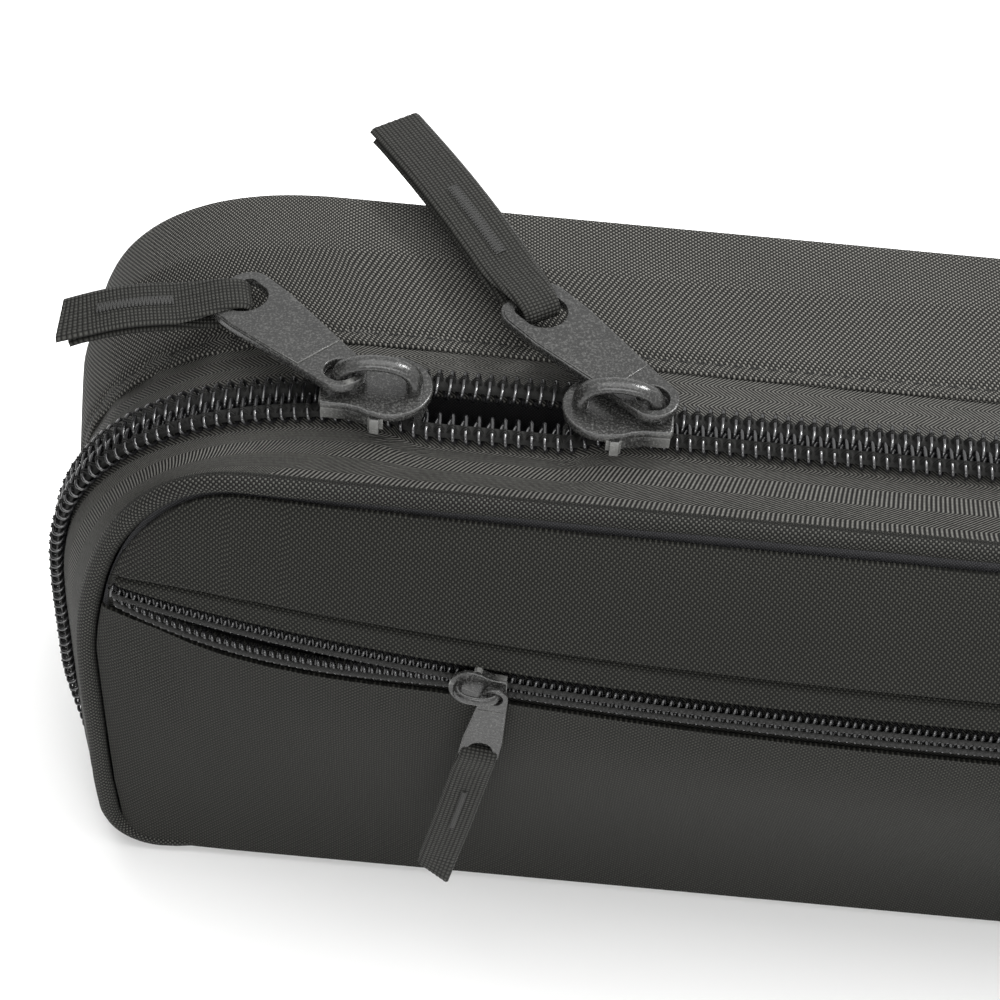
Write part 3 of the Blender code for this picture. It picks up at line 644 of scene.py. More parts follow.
def panel(name, material, body, node, slot, surface, thick, half, bottom, top,
          columns=200, rows=44):
    """A cloth panel between two edges. surface gives its outer depth, and thick goes behind it."""
    share = np.sin(np.linspace(-1, 1, columns) * math.pi / 2)
    x = share * half
    low = bottom(x)
    high = top(x)
    steps = np.linspace(0, 1, rows)[:, None]
    z = low + (high - low) * steps
    grid_x = np.broadcast_to(x, z.shape)
    y = surface(grid_x, z)
    outer = np.stack([grid_x, y, z], axis=-1)
    inner = outer + [0, thick, 0]
    inset = 0.25 * thick
    inner[0, :, 2] += inset
    inner[-1, :, 2] -= inset
    points = np.concatenate([outer.reshape(-1, 3), inner.reshape(-1, 3)])
    count = rows * columns
    face = grid_faces(rows, columns)
    back = face[:, ::-1] + count
    rim = []
    for line in (np.arange(columns), (rows - 1) * columns + np.arange(columns),
                 np.arange(rows) * columns, np.arange(rows) * columns + columns - 1):
        flip = line[0] == 0 and line[1] == 1 or line[0] == columns - 1
        quad = np.stack([line[:-1], line[1:], line[1:] + count, line[:-1] + count], axis=1)
        rim.append(quad[:, ::-1] if flip else quad)
    run = np.concatenate([np.zeros((1, columns)),
                          np.cumsum(np.linalg.norm(np.diff(outer, axis=0), axis=2), axis=0)])
    uv = np.stack([grid_x, run + low[None, :]], axis=-1).reshape(-1, 2)
    shape = (points, np.concatenate([face, back, *rim]), (), np.concatenate([uv, uv]))
    made = piece(name, shape, material, body, node)
    return made


# ---------------------------------------------------------------- rear shell

def corner_share(run):
    """1 in the middle of the two upper corners, 0 on the straights."""
    total = run[-1]
    near = np.minimum(run, total - run)
    return np.exp(-((near - 92 * MM) / (34 * MM)) ** 2)


def gusset_wrinkle(run, depth):
    """Soft creases that gather in the corners next to the hem, and slight unevenness elsewhere."""
    near_hem = math.exp(-max(depth - HEM, 0.0) / (9 * MM))
    gather = 0.35 * MM * corner_share(run) * near_hem * np.sin(run / (2.1 * MM) + depth * 260)
    swell = 0.22 * MM * np.sin(run / (17 * MM) + depth * 60) * np.sin(depth / DEPTH * 2 * math.pi)
    past = depth - HEM
    quilt = -0.45 * MM * math.exp(-((past - 2.4 * MM) / (0.9 * MM)) ** 2)
    return gather + swell + quilt


def make_gusset():
    depths = list(np.concatenate([HEM + np.linspace(0.5, 6, 12) * MM,
                                  np.linspace(HEM + 7 * MM, DEPTH - 1 * MM, 22)]))
    top = [(d, 0.05 * MM) for d in depths]
    fold = 0.55 * MM
    rear = [(DEPTH + 0.1 * MM, -0.1 * MM), (DEPTH + 0.5 * MM, -0.7 * MM), (DEPTH, -1.2 * MM)]
    under = [(d, -0.8 * MM) for d in depths[::-1]]
    hem = [(HEM + 0.1 * MM, -0.75 * MM), (HEM - fold * 0.4, -0.4 * MM), (HEM + 0.1 * MM, 0.0)]
    gusset = sweep("gusset_cloth", top + rear + under + hem, GUSSET_LIT_COPY, "rear_shell",
                   "rear_gusset", wrinkle=gusset_wrinkle)
    make_topstitch(HEM + 2.4 * MM, -0.28 * MM, 3.0 * MM)


def make_topstitch(depth, out, pitch):
    """A row of lockstitches along the gusset's hem."""
    line = rail(depth)
    run = along(line)
    normal = outward(line)
    line = line + normal * (out + gusset_wrinkle(run, depth)[:, None])
    rows = []
    for start in np.arange(1.5 * MM, run[-1] - pitch, pitch):
        share = np.linspace(0, 1, 7)
        where = start + share * pitch * 0.82
        point = np.stack([np.interp(where, run, line[:, n]) for n in range(3)], axis=1)
        out_at = np.stack([np.interp(where, run, normal[:, n]) for n in range(3)], axis=1)
        lift = (np.sin(share * math.pi) ** 0.5 * 0.75 - 0.15) * 0.45 * MM
        rows.append(tube_mesh(point + out_at * lift[:, None], 0.26 * MM, 0.22 * MM, (0, 1, 0), 6))
    piece("gusset_topstitch", join(rows), THREAD, "rear_shell", None)


def make_tapes():
    for side, body, near, far, steps in (
            ("rear", "rear_shell", CHAIN_MIDDLE + 0.9 * MM, HEM + 4 * MM, 20),
            ("front", "front_cover", PIPING * 0.6, CHAIN_MIDDLE - 0.9 * MM, 16)):
        section = strip_section(near, far, -0.2 * MM, 0.5 * MM, steps)
        tape = sweep(f"{side}_tape_cloth", section, TAPE, body, f"{side}_zipper_tape",
                     wrinkle=tape_wrinkle, part=True)


def tape_wrinkle(run, depth):
    """The tapes dip towards their seams and pucker a little round the corners."""
    from_hem = math.exp(-abs(depth - HEM) / (3 * MM))
    from_piping = math.exp(-max(depth - PIPING, 0.0) / (2.5 * MM))
    pucker = 0.25 * MM * corner_share(run) * np.sin(run / (1.9 * MM)) * from_hem
    return pucker - 0.4 * MM * from_hem - 0.6 * MM * from_piping


def make_rear_layers():
    section = strip_section(HEM + 2.5 * MM, DEPTH - 1 * MM, -1.15 * MM, 3.0 * MM, 8)
    padding = sweep("gusset_padding", section, PAD, "rear_shell", "rear_gusset_foam",
                    FOOT + 4 * MM)
    turned = [(HEM + 1.6 * MM, -1.3 * MM), (HEM + 2.1 * MM, -1.3 * MM), (HEM + 2.1 * MM, -4.4 * MM)]
    depths = np.linspace(HEM + 2.6 * MM, DEPTH - 1 * MM, 14)
    turned += [(d, -4.5 * MM) for d in depths] + [(d, -5.0 * MM) for d in depths[::-1]]
    turned += [(HEM + 1.6 * MM, -4.8 * MM)]
    lining = sweep("gusset_lining_cloth", turned, LINING, "rear_shell", "rear_gusset_lining",
                   FOOT + 4 * MM,
                   wrinkle=lambda run, depth: 0.15 * MM * np.sin(run / (9 * MM) + depth * 90))

    inset = 0.4 * MM
    half = outline_half(0, inset, DEPTH) - 0.3 * MM

    def back_face(x, z):
        edge = np.minimum(half - np.abs(x), outline_top(x, inset, DEPTH) - z)
        tuck = 1.3 * MM * np.exp(-np.maximum(edge, 0) / (2.2 * MM))
        ripple = 0.25 * MM * np.sin(x / (31 * MM)) * np.sin(z / (19 * MM))
        return DEPTH + 1.3 * MM - tuck - rear_belly(x, z) + ripple

    panel("rear_cloth", GUSSET_LIT_COPY, "rear_shell", "rear_panel", "cover_fabric", back_face, -FABRIC,
          half, *edge_lines(inset, DEPTH, 1.0 * MM))
    inset_in = 6 * MM
    half_in = outline_half(0, inset_in, DEPTH) - 0.5 * MM
    edges = edge_lines(inset_in, DEPTH, 6 * MM)
    foam_face = DEPTH - 3.5 * MM
    panel("rear_padding", PAD, "rear_shell", "rear_panel_foam", "foam",
          lambda x, z: foam_face - rear_belly(x, z), 3 * MM, half_in, *edges, 120, 24)
    panel("rear_lining_cloth", LINING, "rear_shell", "rear_panel_lining", "lining",
          lambda x, z: foam_face - 0.85 * MM - rear_belly(x, z) + 0.15 * MM * np.sin(x / (12 * MM)),
          0.5 * MM, half_in, *edges, 160, 30)


def spine_line(depth, inset, top):
    """The spine's line at a depth: down the left end, along the floor, up the right end."""
    half = LENGTH / 2 + skin_at(depth)[0] - inset
    radius = SPINE_CORNER - inset
    turn = np.linspace(0, math.pi / 2, 14)
    x = np.concatenate([[-half, -half], -half + radius * (1 - np.cos(turn))])
    z = np.concatenate([[top, (top + inset + radius) / 2], inset + radius * (1 - np.sin(turn))])
    floor = np.linspace(x[-1], -x[-1], 90)[1:-1]
    x = np.concatenate([x, floor, -x[::-1]])
    z = np.concatenate([z, np.full(len(floor), inset), z[::-1]])
    return np.stack([x, np.full(len(x), depth), z], axis=1)


def spine_sheet(name, material, node, near, far, inset, thick, top, ends=0.0):
    depths = np.linspace(near, far, 16)
    rows = [spine_line(d, inset, top) for d in depths]
    rows += [spine_line(d, inset + thick, top) for d in depths[::-1]]
    if ends:
        rows += [spine_line(near - ends, inset + thick / 2, top)]
    run = along(rows[0])
    uvs = [np.stack([run, row[:, 1]], axis=1) for row in rows]
    made = piece(name, closed_rows(rows, uvs), material, "rear_shell", node)


def make_spine():
    top = FOOT - 0.2 * MM
    spine_sheet("spine_cloth", GUSSET_LIT_COPY, "spine_panel", SPINE_FRONT + 0.4 * MM,
                DEPTH + 0.4 * MM, 0.0, FABRIC, top, 0.3 * MM)
    spine_sheet("spine_stiffener", BOARD, "spine_board", 3 * MM, DEPTH - 5 * MM,
                FABRIC + 0.35 * MM, 1.2 * MM, top - MM)
    spine_sheet("spine_lining_cloth", LINING, "spine_lining", 3 * MM, DEPTH - 5 * MM,
                FABRIC + 1.9 * MM, 0.5 * MM, top - MM)


# ---------------------------------------------------------------- stick pocket

STICK_LEFT = -200 * MM
STICK_MOUTH = 110 * MM
STICK_LOW = 10 * MM
STICK_HIGH = 92 * MM
STICK_SEAM = 56.85 * MM
STICK_BULGE = 15 * MM


def stick_sheet(name, material, node, places, thick):
    """The sleeves' sheet between two places along X, closed to a thin shell."""
    x = np.linspace(*places, 60 if places[1] - places[0] > 0.1 else 8)
    full = np.interp(x, [STICK_LEFT, -185 * MM, -165 * MM, -135 * MM], [0, 0.45, 0.8, 1.0])
    share = np.linspace(0, 1, 61)
    z = STICK_LOW + (STICK_HIGH - STICK_LOW) * share
    lobes = np.abs(np.sin(2 * math.pi * share)) ** 0.7
    grid_x, grid_lobes = np.meshgrid(x, lobes)
    sag = 0.5 * MM * np.sin(grid_x / (11 * MM) + 2.5 * grid_lobes) * grid_lobes
    y = STICK_SEAM - STICK_BULGE * full[None, :] * grid_lobes + sag
    grid_z = np.broadcast_to(z[:, None], y.shape)
    outer = np.stack([grid_x, y - thick, grid_z], axis=-1)
    inner = np.stack([grid_x, y, grid_z], axis=-1)
    rows = np.concatenate([outer, inner[::-1]])
    cols = len(x)
    run = along(np.stack([y[:, -1], z], axis=1))
    uv = np.stack(np.broadcast_arrays(x, run[:, None]), axis=-1)
    quads = []
    for cap in end_caps(len(rows), cols):
        half = len(cap) // 2
        quads += [[cap[i], cap[i + 1], cap[-i - 2], cap[-i - 1]] for i in range(half - 1)]
    shape = (rows.reshape(-1, 3), grid_faces(len(rows), cols, wrap=True), quads,
             np.concatenate([uv, uv[::-1]]).reshape(-1, 2))
    made = piece(name, shape, material, "rear_shell", node)


def make_stick_pocket():
    stick_sheet("stick_pocket_cloth", LINING, "stick_pocket_panel",
                (STICK_LEFT, STICK_MOUTH), FABRIC)
    stick_sheet("stick_pocket_tape", BINDING, "stick_pocket_binding",
                (STICK_MOUTH + 0.35 * MM, STICK_MOUTH + 9.35 * MM), 1.2 * MM)


# ---------------------------------------------------------------- front cover

FRONT_RIM = -1.4 * MM
PANEL_INSET = 3.5 * MM
FOLD_EDGE = POCKET_ZIP + 8.2 * MM
LOWER_EDGE = POCKET_ZIP - 3.2 * MM


def droop(x):
    """Share of the pocket zipper's opening: it is open from its left end to the slider."""
    left = -LENGTH / 2 + 8 * MM
    span = (x - left) / (POCKET_SLIDER - 4 * MM - left)
    inside = np.clip(span, 0.0, 1.0)
    return np.sin(math.pi * inside ** 0.8) ** 1.2


def front_face(x, z):
    """Depth of the front panels' outer face, tucked in beside the piping."""
    edge = np.minimum(LENGTH / 2 - PANEL_INSET - np.abs(x), outline_top(x, PANEL_INSET, 0.0) - z)
    tuck = 1.2 * MM * np.exp(-np.maximum(edge, 0.0) / (2.0 * MM))
    ripple = 0.35 * MM * np.sin(x / (27 * MM) + z / (33 * MM))
    ripple = ripple * np.sin(math.pi * np.clip(z / HEIGHT, 0, 1))
    return FRONT_RIM - belly(x, z) + tuck + ripple


def upper_edge(x):
    return np.full_like(x, POCKET_ZIP + 3.9 * MM)


def crease(x):
    """Height of the sewn crease over the pocket zipper, which comes down to it at the ends."""
    close = np.exp(-(LENGTH / 2 - np.abs(x) - 4 * MM) / (11 * MM))
    return FOLD_EDGE - 4.0 * MM * np.clip(close, 0, 1)


def upper_face(x, z):
    """The cloth bulges over its crease, and the welt below it hangs to the zipper."""
    above = z - crease(x)
    groove = 1.5 * MM * np.exp(-(above / (0.6 * MM)) ** 2)
    overhang = 1.1 * MM * np.exp(-np.maximum(above, 0.0) / (3.0 * MM)) * (above > 0)
    welt = 0.5 * MM * np.exp(-np.maximum(z - upper_edge(x), 0.0) / (1.6 * MM))
    return front_face(x, z) + groove - overhang - welt


def lower_face(x, z):
    lip = np.exp(-np.maximum(LOWER_EDGE - z, 0.0) / (2.2 * MM))
    dent = 0.5 * MM * np.exp(-((x + 205 * MM) / (6 * MM)) ** 2) * np.sin(z / (9 * MM))
    return front_face(x, z) - 0.35 * MM * lip + dent


def zip_face(x, z):
    return front_face(x, z) + 1.5 * MM


def zip_line(x, side):
    """Middle of the pocket zipper, for its upper (1) or lower (-1) half."""
    z = np.full_like(x, POCKET_ZIP)
    if side < 0:
        z = z - 3.0 * MM * droop(x)
    return z


def make_front():
    half = outline_half(0, PANEL_INSET, 0.0) - 0.3 * MM
    low, top = edge_lines(PANEL_INSET, 0.0, 2.1 * MM)
    reach = outline_half(FOLD_EDGE - 2 * MM, PANEL_INSET, 0.0) - 0.3 * MM
    panel("front_upper_cloth", COVER_SHADED_COPY, "front_cover", "front_upper_panel", "cover_fabric",
          upper_face, FABRIC, reach, upper_edge, lambda x: np.maximum(top(x), upper_edge(x) + MM),
          220, 80)
    panel("front_pocket_cloth", COVER_SHADED_COPY, "front_cover", "front_pocket_panel", "cover_fabric",
          lower_face, FABRIC, half, low,
          lambda x: np.minimum(LOWER_EDGE - 3.0 * MM * droop(x), top(x)), 220, 60)
    tape_half = outline_half(POCKET_ZIP, PANEL_INSET, 0.0) - 0.3 * MM
    for side, word in ((1, "upper"), (-1, "lower")):
        def inner(x, s=side):
            return zip_line(x, s) + s * 0.35 * MM

        def outer(x, s=side):
            return np.minimum(zip_line(x, s) + s * 9.6 * MM, top(x) - 0.5 * MM)

        edges = (inner, outer) if side > 0 else (outer, inner)
        panel(f"pocket_{word}_tape_cloth", POCKET_TAPE, "front_cover", f"pocket_zipper_{word}_tape",
              "zipper_tape", zip_face, 0.5 * MM, tape_half, *edges, 220, 10)
        make_pocket_coil(f"pocket_{word}_coil", side, f"pocket_zipper_{word}_coil", tape_half)

    def backing(x, z):
        return 1.5 * MM - belly(x, z) * 0.3

    panel("front_backing_cloth", LINING, "front_cover", "front_backing_panel", "lining", backing,
          FABRIC, half - 0.6 * MM, *edge_lines(PANEL_INSET, 0.0, 2.1 * MM, 0.6 * MM), 140, 30)
    inner_inset = 4.3 * MM
    edges = edge_lines(inner_inset, 0.0, 5 * MM)
    inner_half = outline_half(0, inner_inset, 0.0) - 0.5 * MM
    panel("front_padding", PAD, "front_cover", "front_foam", "foam",
          lambda x, z: backing(x, z) + FABRIC + 0.35 * MM, 3 * MM, inner_half, *edges, 140, 26)
    panel("front_lining_cloth", LINING, "front_cover", "front_lining", "lining",
          lambda x, z: backing(x, z) + FABRIC + 3.7 * MM + 0.12 * MM * np.sin(x / (14 * MM)),
          0.5 * MM, inner_half, *edges, 160, 30)
    make_piping()


def make_pocket_coil(name, side, node, half):
    """One half of the pocket zipper's coil, with its sewing thread."""
    turns = int(2 * half / POCKET_PITCH) - 2
    steps = 14
    turn = np.arange(turns * steps + 1) * 2 * math.pi / steps
    shift = 0.0 if side > 0 else POCKET_PITCH / 2
    x = -half + POCKET_PITCH / 2 + shift + turn / (2 * math.pi) * POCKET_PITCH
    across, up = loop_section(turn, -0.25 * MM, 2.15 * MM, 0.1 * MM, 1.55 * MM)
    z = zip_line(x, side) + side * across
    line = np.stack([x, zip_face(x, z) - up, z], axis=1)
    coil = tube_mesh(line, 0.30 * MM, 0.27 * MM, (1, 0, 0), 6)
    piece(name, coil, COIL, "front_cover", node, angle=80)
    x = np.arange(turns * 6) * POCKET_PITCH / 6 - half + POCKET_PITCH
    beat = np.cos(2 * math.pi * (x - x[0] - shift) / POCKET_PITCH - math.pi / 2)
    z = zip_line(x, side) + side * 0.95 * MM
    line = np.stack([x, zip_face(x, z) - (1.72 + 0.1 * beat) * MM, z], axis=1)
    row = tube_mesh(line, 0.68 * MM, 0.28 * MM, (0, 0, 1), 8)
    piece(name + "_thread", row, THREAD, "front_cover", None)


def make_piping():
    """The fabric tube round the front seam, turned in under the bag at its two ends."""
    seam = rail(0.0, FOOT)
    seam_out = outward(seam)
    centre = seam - seam_out * PIPING * 0.75
    turn = np.linspace(0, math.pi / 2, 12)
    radius = SPINE_CORNER
    x = -LENGTH / 2 + PIPING * 0.75
    bend = np.stack([x + radius * (1 - np.cos(turn)), np.zeros(12),
                     2.3 * MM + radius * (1 - np.sin(turn))], axis=1)
    run_in = np.stack([np.linspace(x + radius, -LENGTH / 2 + 26 * MM, 6)[1:], np.zeros(5),
                       np.linspace(2.4 * MM, 3.4 * MM, 5)], axis=1)
    left = np.concatenate([bend, run_in])[::-1]
    line = np.concatenate([left, centre, (left * [-1, 1, 1])[::-1]])
    tangent = unit(np.gradient(line, axis=0))
    side = np.cross(tangent, [0, 1, 0])
    run = along(line)
    taper = 0.4 + 0.6 * smooth(np.minimum(run, run[-1] - run) / (16 * MM))
    radius = 0.86 * PIPING * (1 + 0.035 * np.sin(run / (4.3 * MM))) * taper
    tube = tube_mesh(line, radius, radius, side, 14)
    piece("piping_cloth", tube, PIPE, "front_cover", "front_piping_cover")
    side = np.cross(unit(np.gradient(centre, axis=0)), [0, 1, 0])
    core = tube_mesh(centre, 1.1 * MM, 1.1 * MM, side, 8)
    piece("piping_core", core, PAD, "front_cover", "front_piping_cord")


def make_spine_fold():
    """The strip of cloth along the bag's lower front edge, which on the bag bends as the cover folds
    down; here it is one fixed shape on no body.
    """
    path = np.array([(6.0, 1.1), (3.0, 0.95), (1.4, 0.9), (0.4, 1.0), (-0.3, 1.6), (-0.5, 3.0),
                     (-0.6, 6.0)]) * MM
    thick = 0.45 * MM
    x = np.linspace(-LENGTH / 2 + 12 * MM, LENGTH / 2 - 12 * MM, 80)
    tangent = unit(np.gradient(path, axis=0))
    normal = np.stack([tangent[:, 1], -tangent[:, 0]], axis=1)
    section = np.concatenate([path, (path - normal * thick)[::-1]])
    rows = [np.stack([x, np.full(len(x), y), np.full(len(x), z)], axis=1) for y, z in section]
    uvs = [np.stack([x, np.full(len(x), r * MM)], axis=1) for r in range(len(rows))]
    fold = piece("spine_fold_cloth", closed_rows(rows, uvs), COVER_SHADED_COPY, None, None)
    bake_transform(fold)


# ---------------------------------------------------------------- sliders and pullers

SLIDER_LONG = 18 * MM
SLIDER_WIDE = 13.5 * MM
PLATE = 1.5 * MM
ROOM = 0.7 * MM
BAIL_X = 5.7 * MM
BAIL_UP = 1.8 * MM
PULLER_FAR = 31.8 * MM
PULLER_WIDE = 12.6 * MM
PULLER_THICK = 1.6 * MM
PULL_HOLE_X = 26.5 * MM
STRAP_PIVOT = 5 * MM
POCKET_SCALE = 0.53
MAIN_CHAIN = 3.65 * MM  # tape and coil together
POCKET_CHAIN = 2.45 * MM


def axes(origin, direction, up):
    """A placing matrix from its origin, its +X direction and roughly its +Z direction."""
    x = Vector(direction).normalized()
    y = Vector(up).cross(x).normalized()
    matrix = Matrix((x, y, x.cross(y))).transposed().to_4x4()
    matrix.translation = Vector(origin)
    return matrix


def arc(centre, radius, start, stop, steps):
    """Points of an arc, angles in degrees."""
    turn = np.radians(np.linspace(start, stop, steps))
    return [(centre[0] + radius * math.cos(t), centre[1] + radius * math.sin(t)) for t in turn]


def plate(outline, low, high, rim, holes=()):
    """A flat plate with rounded rims: points, quads, caps and uv, made from a filled 2-D curve."""
    curve = bpy.data.curves.new("plate", "CURVE")
    curve.dimensions = "2D"
    curve.fill_mode = "BOTH"
    curve.extrude = (high - low) / 2 - rim
    curve.bevel_depth = rim
    curve.bevel_resolution = 3
    curve.offset = -rim
    for ring in (outline, *holes):
        spline = curve.splines.new("POLY")
        spline.points.add(len(ring) - 1)
        for point, (x, y) in zip(spline.points, ring):
            point.co = (x, y, 0, 1)
        spline.use_cyclic_u = True
    obj = bpy.data.objects.new("plate", curve)
    bpy.context.scene.collection.objects.link(obj)
    bpy.context.view_layer.update()
    mesh = bpy.data.meshes.new_from_object(obj.evaluated_get(bpy.context.evaluated_depsgraph_get()))
    points = np.array([v.co for v in mesh.vertices]) + [0, 0, (low + high) / 2]
    caps = [list(p.vertices) for p in mesh.polygons]
    bpy.data.objects.remove(obj)
    bpy.data.curves.remove(curve)
    bpy.data.meshes.remove(mesh)
    return points, np.zeros((0, 4), int), caps, points[:, :2].copy()


def metal_piece(name, parts, body, node, place, size):
    """Join parts made at full size into one metal piece at its place."""
    points, faces, caps, uv = join(parts)
    shape = (points * size, faces, caps, uv * size)
    obj = piece(name, shape, METAL, body, node, place, angle=50)
    obj.data.polygons.foreach_set("use_smooth", [True] * len(obj.data.polygons))


def plan(grow=0.0):
    """Half outlines of a slider's plate with its mouth at +X, from the tail to the nose."""
    half = SLIDER_WIDE / 2 + grow
    tail = half * 0.74
    side = [(-9.0 * MM - grow, tail - 0.8 * MM), (-8.6 * MM - grow, tail)]
    side += [(-4.6 * MM, tail + 0.1 * MM), (-2.6 * MM, tail + 0.55 * MM), (-1.0 * MM, half * 0.93)]
    return side + arc((2.25 * MM, 0), half, 100, 0, 16)


def full_plan(mouth, grow=0.0):
    side = plan(grow)
    ring = side + [(x, -y) for x, y in side[-2::-1]]
    return [(mouth * x, y) for x, y in ring]


def lip(side, mouth, low, high):
    """The wall that hangs from a plate's edge between the tail and the waist."""
    outer = [(-8.6 * MM, 5.0), (-4.6 * MM, 5.1), (-2.4 * MM, 5.6), (-0.6 * MM, 6.3), (1.6 * MM, 6.75)]
    outer = [(x, y * MM) for x, y in outer]
    inner = [(x, y - 0.9 * MM) for x, y in outer[::-1]]
    ring = [(mouth * x, side * y) for x, y in outer + inner]
    return plate(ring, low, high, 0.18 * MM)


def make_slider(name, body, node, place, chain, mouth, size):
    """Two plates with side walls, a neck at the mouth and a thick bridge, made at full size."""
    room = ROOM / size
    chain = chain / size
    below = -room
    above = chain + room
    top = above + PLATE
    parts = [plate(full_plan(mouth), above, top, 0.35 * MM)]
    parts.append(plate(full_plan(mouth, -0.5 * MM), below - PLATE, below, 0.3 * MM))
    for side in (1, -1):
        parts.append(lip(side, mouth, above - 1.9 * MM, above + 0.6 * MM))
        tab = [(-0.9, 6.2), (1.0, 6.3), (0.9, 7.1), (-0.5, 7.0)]
        tab = [(mouth * x * MM, side * y * MM) for x, y in tab]
        parts.append(plate(tab, above - 2.7 * MM, above + 0.5 * MM, 0.15 * MM))
    neck = arc((5.8 * MM, 0), 0.55 * MM, 0, 350, 12)
    neck = [(mouth * x, y) for x, y in neck]
    parts.append(plate(neck, below - 0.5 * MM, above + 0.5 * MM, 0.05 * MM))

    turn = np.linspace(-0.12, math.pi + 0.12, 40)
    half = SLIDER_LONG * 0.34
    rise = 5.1 * MM * np.sign(np.sin(turn)) * np.abs(np.sin(turn)) ** 0.6
    line = np.stack([-half * np.cos(turn), np.zeros(40), rise + top - 0.3 * MM], axis=1)
    flare = 1 + 0.35 * np.abs(np.cos(turn)) ** 6
    parts.append(tube_mesh(line, 1.6 * MM * flare, 1.05 * MM * flare, (0, 1, 0), 16))
    metal_piece(name, parts, body, node, place, size)


def puller_outline(inset, start=None):
    """Outline of a puller: a ring end round the bridge and a broad far end."""
    ring = 4.25 * MM - inset
    far = PULLER_FAR - inset
    wide = PULLER_WIDE / 2 - inset
    corner = 3.6 * MM
    side = arc((0.5 * MM, 0), ring, 180, 100, 10)
    side += [(3.6 * MM, ring + 0.25 * MM), (21.5 * MM, wide)]
    side += arc((far - corner, wide - corner), corner, 90, 0, 8)
    if start is not None:
        side = [(start, 4.62 * MM - inset)] + [p for p in side if p[0] > start]
    below = [(x, -y) for x, y in side[::-1]]
    if start is None:
        below = below[:-1]
    return side + below


def make_puller(name, body, node, place, size):
    half_thick = PULLER_THICK / 2
    ring_hole = [(0.5 * MM + 2.75 * MM * math.cos(t), 2.65 * MM * math.sin(t))
                 for t in np.linspace(0, 2 * math.pi, 28, endpoint=False)]
    strap_hole = arc((26.0 * MM, 0), 3.95 * MM, 100, 260, 20)
    strap_hole += arc((28.4 * MM, -2.7 * MM), 1.2 * MM, 270, 360, 6)
    strap_hole += arc((28.4 * MM, 2.7 * MM), 1.2 * MM, 0, 90, 6)
    parts = [plate(puller_outline(0), -half_thick, half_thick - 0.12 * MM, 0.28 * MM,
                   (ring_hole, strap_hole))]
    parts.append(plate(puller_outline(0.35 * MM, 6.2 * MM), 0, half_thick + 0.1 * MM, 0.12 * MM,
                       (strap_hole,)))
    metal_piece(name, parts, body, node, place, size)


# ---------------------------------------------------------------- straps

def ribbon(path, widths, thick):
    """A strap along a path in the XZ plane: points, quads, caps and uv, with rounded selvedges."""
    path = np.array(path, float)
    run = along(path)
    fine = np.linspace(0, run[-1], 110)
    x = np.interp(fine, run, path[:, 0])
    z = np.interp(fine, run, path[:, 1])
    kernel = np.hanning(9)[1:-1]
    kernel /= kernel.sum()
    x, z = [np.convolve(np.pad(a, 3, mode="reflect", reflect_type="odd"), kernel, mode="valid")
            for a in (x, z)]
    wide = np.interp(fine, run, widths) / 2
    tangent = unit(np.stack([np.gradient(x), np.gradient(z)], axis=1))
    normal = np.stack([-tangent[:, 1], tangent[:, 0]], axis=1)
    section = []
    lanes = np.linspace(-1, 1, 17)
    for lane in lanes:
        section.append((lane, thick / 2 * math.sqrt(max(1 - abs(lane) ** 14, 0.0))))
    section += [(lane, -height) for lane, height in section[-2:0:-1]]
    rows, uvs = [], []
    for lane, height in section:
        rib = 0.05 * MM * math.cos(lane * 8 * math.pi) * (1 if height > 0 else -1)
        out = height + (rib if abs(lane) < 0.95 else 0.0)
        rows.append(np.stack([x + normal[:, 0] * out, lane * wide, z + normal[:, 1] * out], axis=1))
        uvs.append(np.stack([fine, lane * wide], axis=1))
    return closed_rows(rows, uvs)


def make_strap(name, body, node, place, length, wide, thick, size, tack, bow=1.2 * MM, cut=0.0,
               waist=0.66):
    """Webbing led through the puller's hole, folded back on itself and tacked."""
    layer = thick / 2
    hole = -STRAP_PIVOT * size
    near = hole - 1.2 * MM * size
    over = PULLER_THICK * size / 2 + layer * 0.62

    def arch(x):
        share = (x - 4 * MM) / (length - 4 * MM)
        return bow * math.sin(math.pi * min(max(share, 0.0), 1.0))

    tops = [(x, arch(x) + layer / 2 + 0.04 * MM) for x in np.linspace(length, 6 * MM * size, 12)]
    bottoms = [(x, z - layer - 0.08 * MM) for x, z in tops[::-1]]
    bottoms[-1] = (length - 1.4 * MM * size, bottoms[-1][1])
    loop = [(2.0 * MM * size, over * 0.8), (-0.5 * MM * size, over), (hole + 1.8 * MM * size, over),
            (near + 0.5 * MM * size, over * 0.72), (near, 0.0), (near + 0.5 * MM * size, -over * 0.72),
            (hole + 1.8 * MM * size, -over), (-0.5 * MM * size, -over), (2.0 * MM * size, -over * 0.8)]
    path = tops + loop + bottoms
    narrow = wide * waist
    taper = [wide + (narrow - wide) * share for share in (0.1, 0.35, 0.6, 0.85)]
    widths = [wide] * 11 + taper + [narrow] * 3 + taper[::-1] + [wide] * 11
    strap = ribbon(path, widths, layer * 0.96)
    points = strap[0]
    tip = np.clip((points[:, 0] - (length - 4 * MM)) / (4 * MM), 0, 1)
    points[:, 0] -= cut * tip * (points[:, 1] / wide + 0.5)
    webbing = piece(name, strap, STRAP, None, node, place)
    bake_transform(webbing)

    start, stop, broad = tack
    rows = []
    xs = np.arange(start, stop, 0.3 * MM)
    for n, x in enumerate(xs):
        z = arch(x) + layer + 0.10 * MM
        across = np.linspace(-broad / 2, broad / 2, 6)
        lean = (0.12 if n % 2 else -0.12) * MM
        line = np.stack([x + lean * across / (broad / 2), across, np.full(6, z)
                         + 0.14 * MM * np.cos(across / (broad / 2) * math.pi / 2)], axis=1)
        rows.append(tube_mesh(line, 0.2 * MM, 0.15 * MM, (1, 0, 0), 5))
    piece(name + "_bartack", join(rows), TACK_PAINTED_SHEEN, body, None, place)


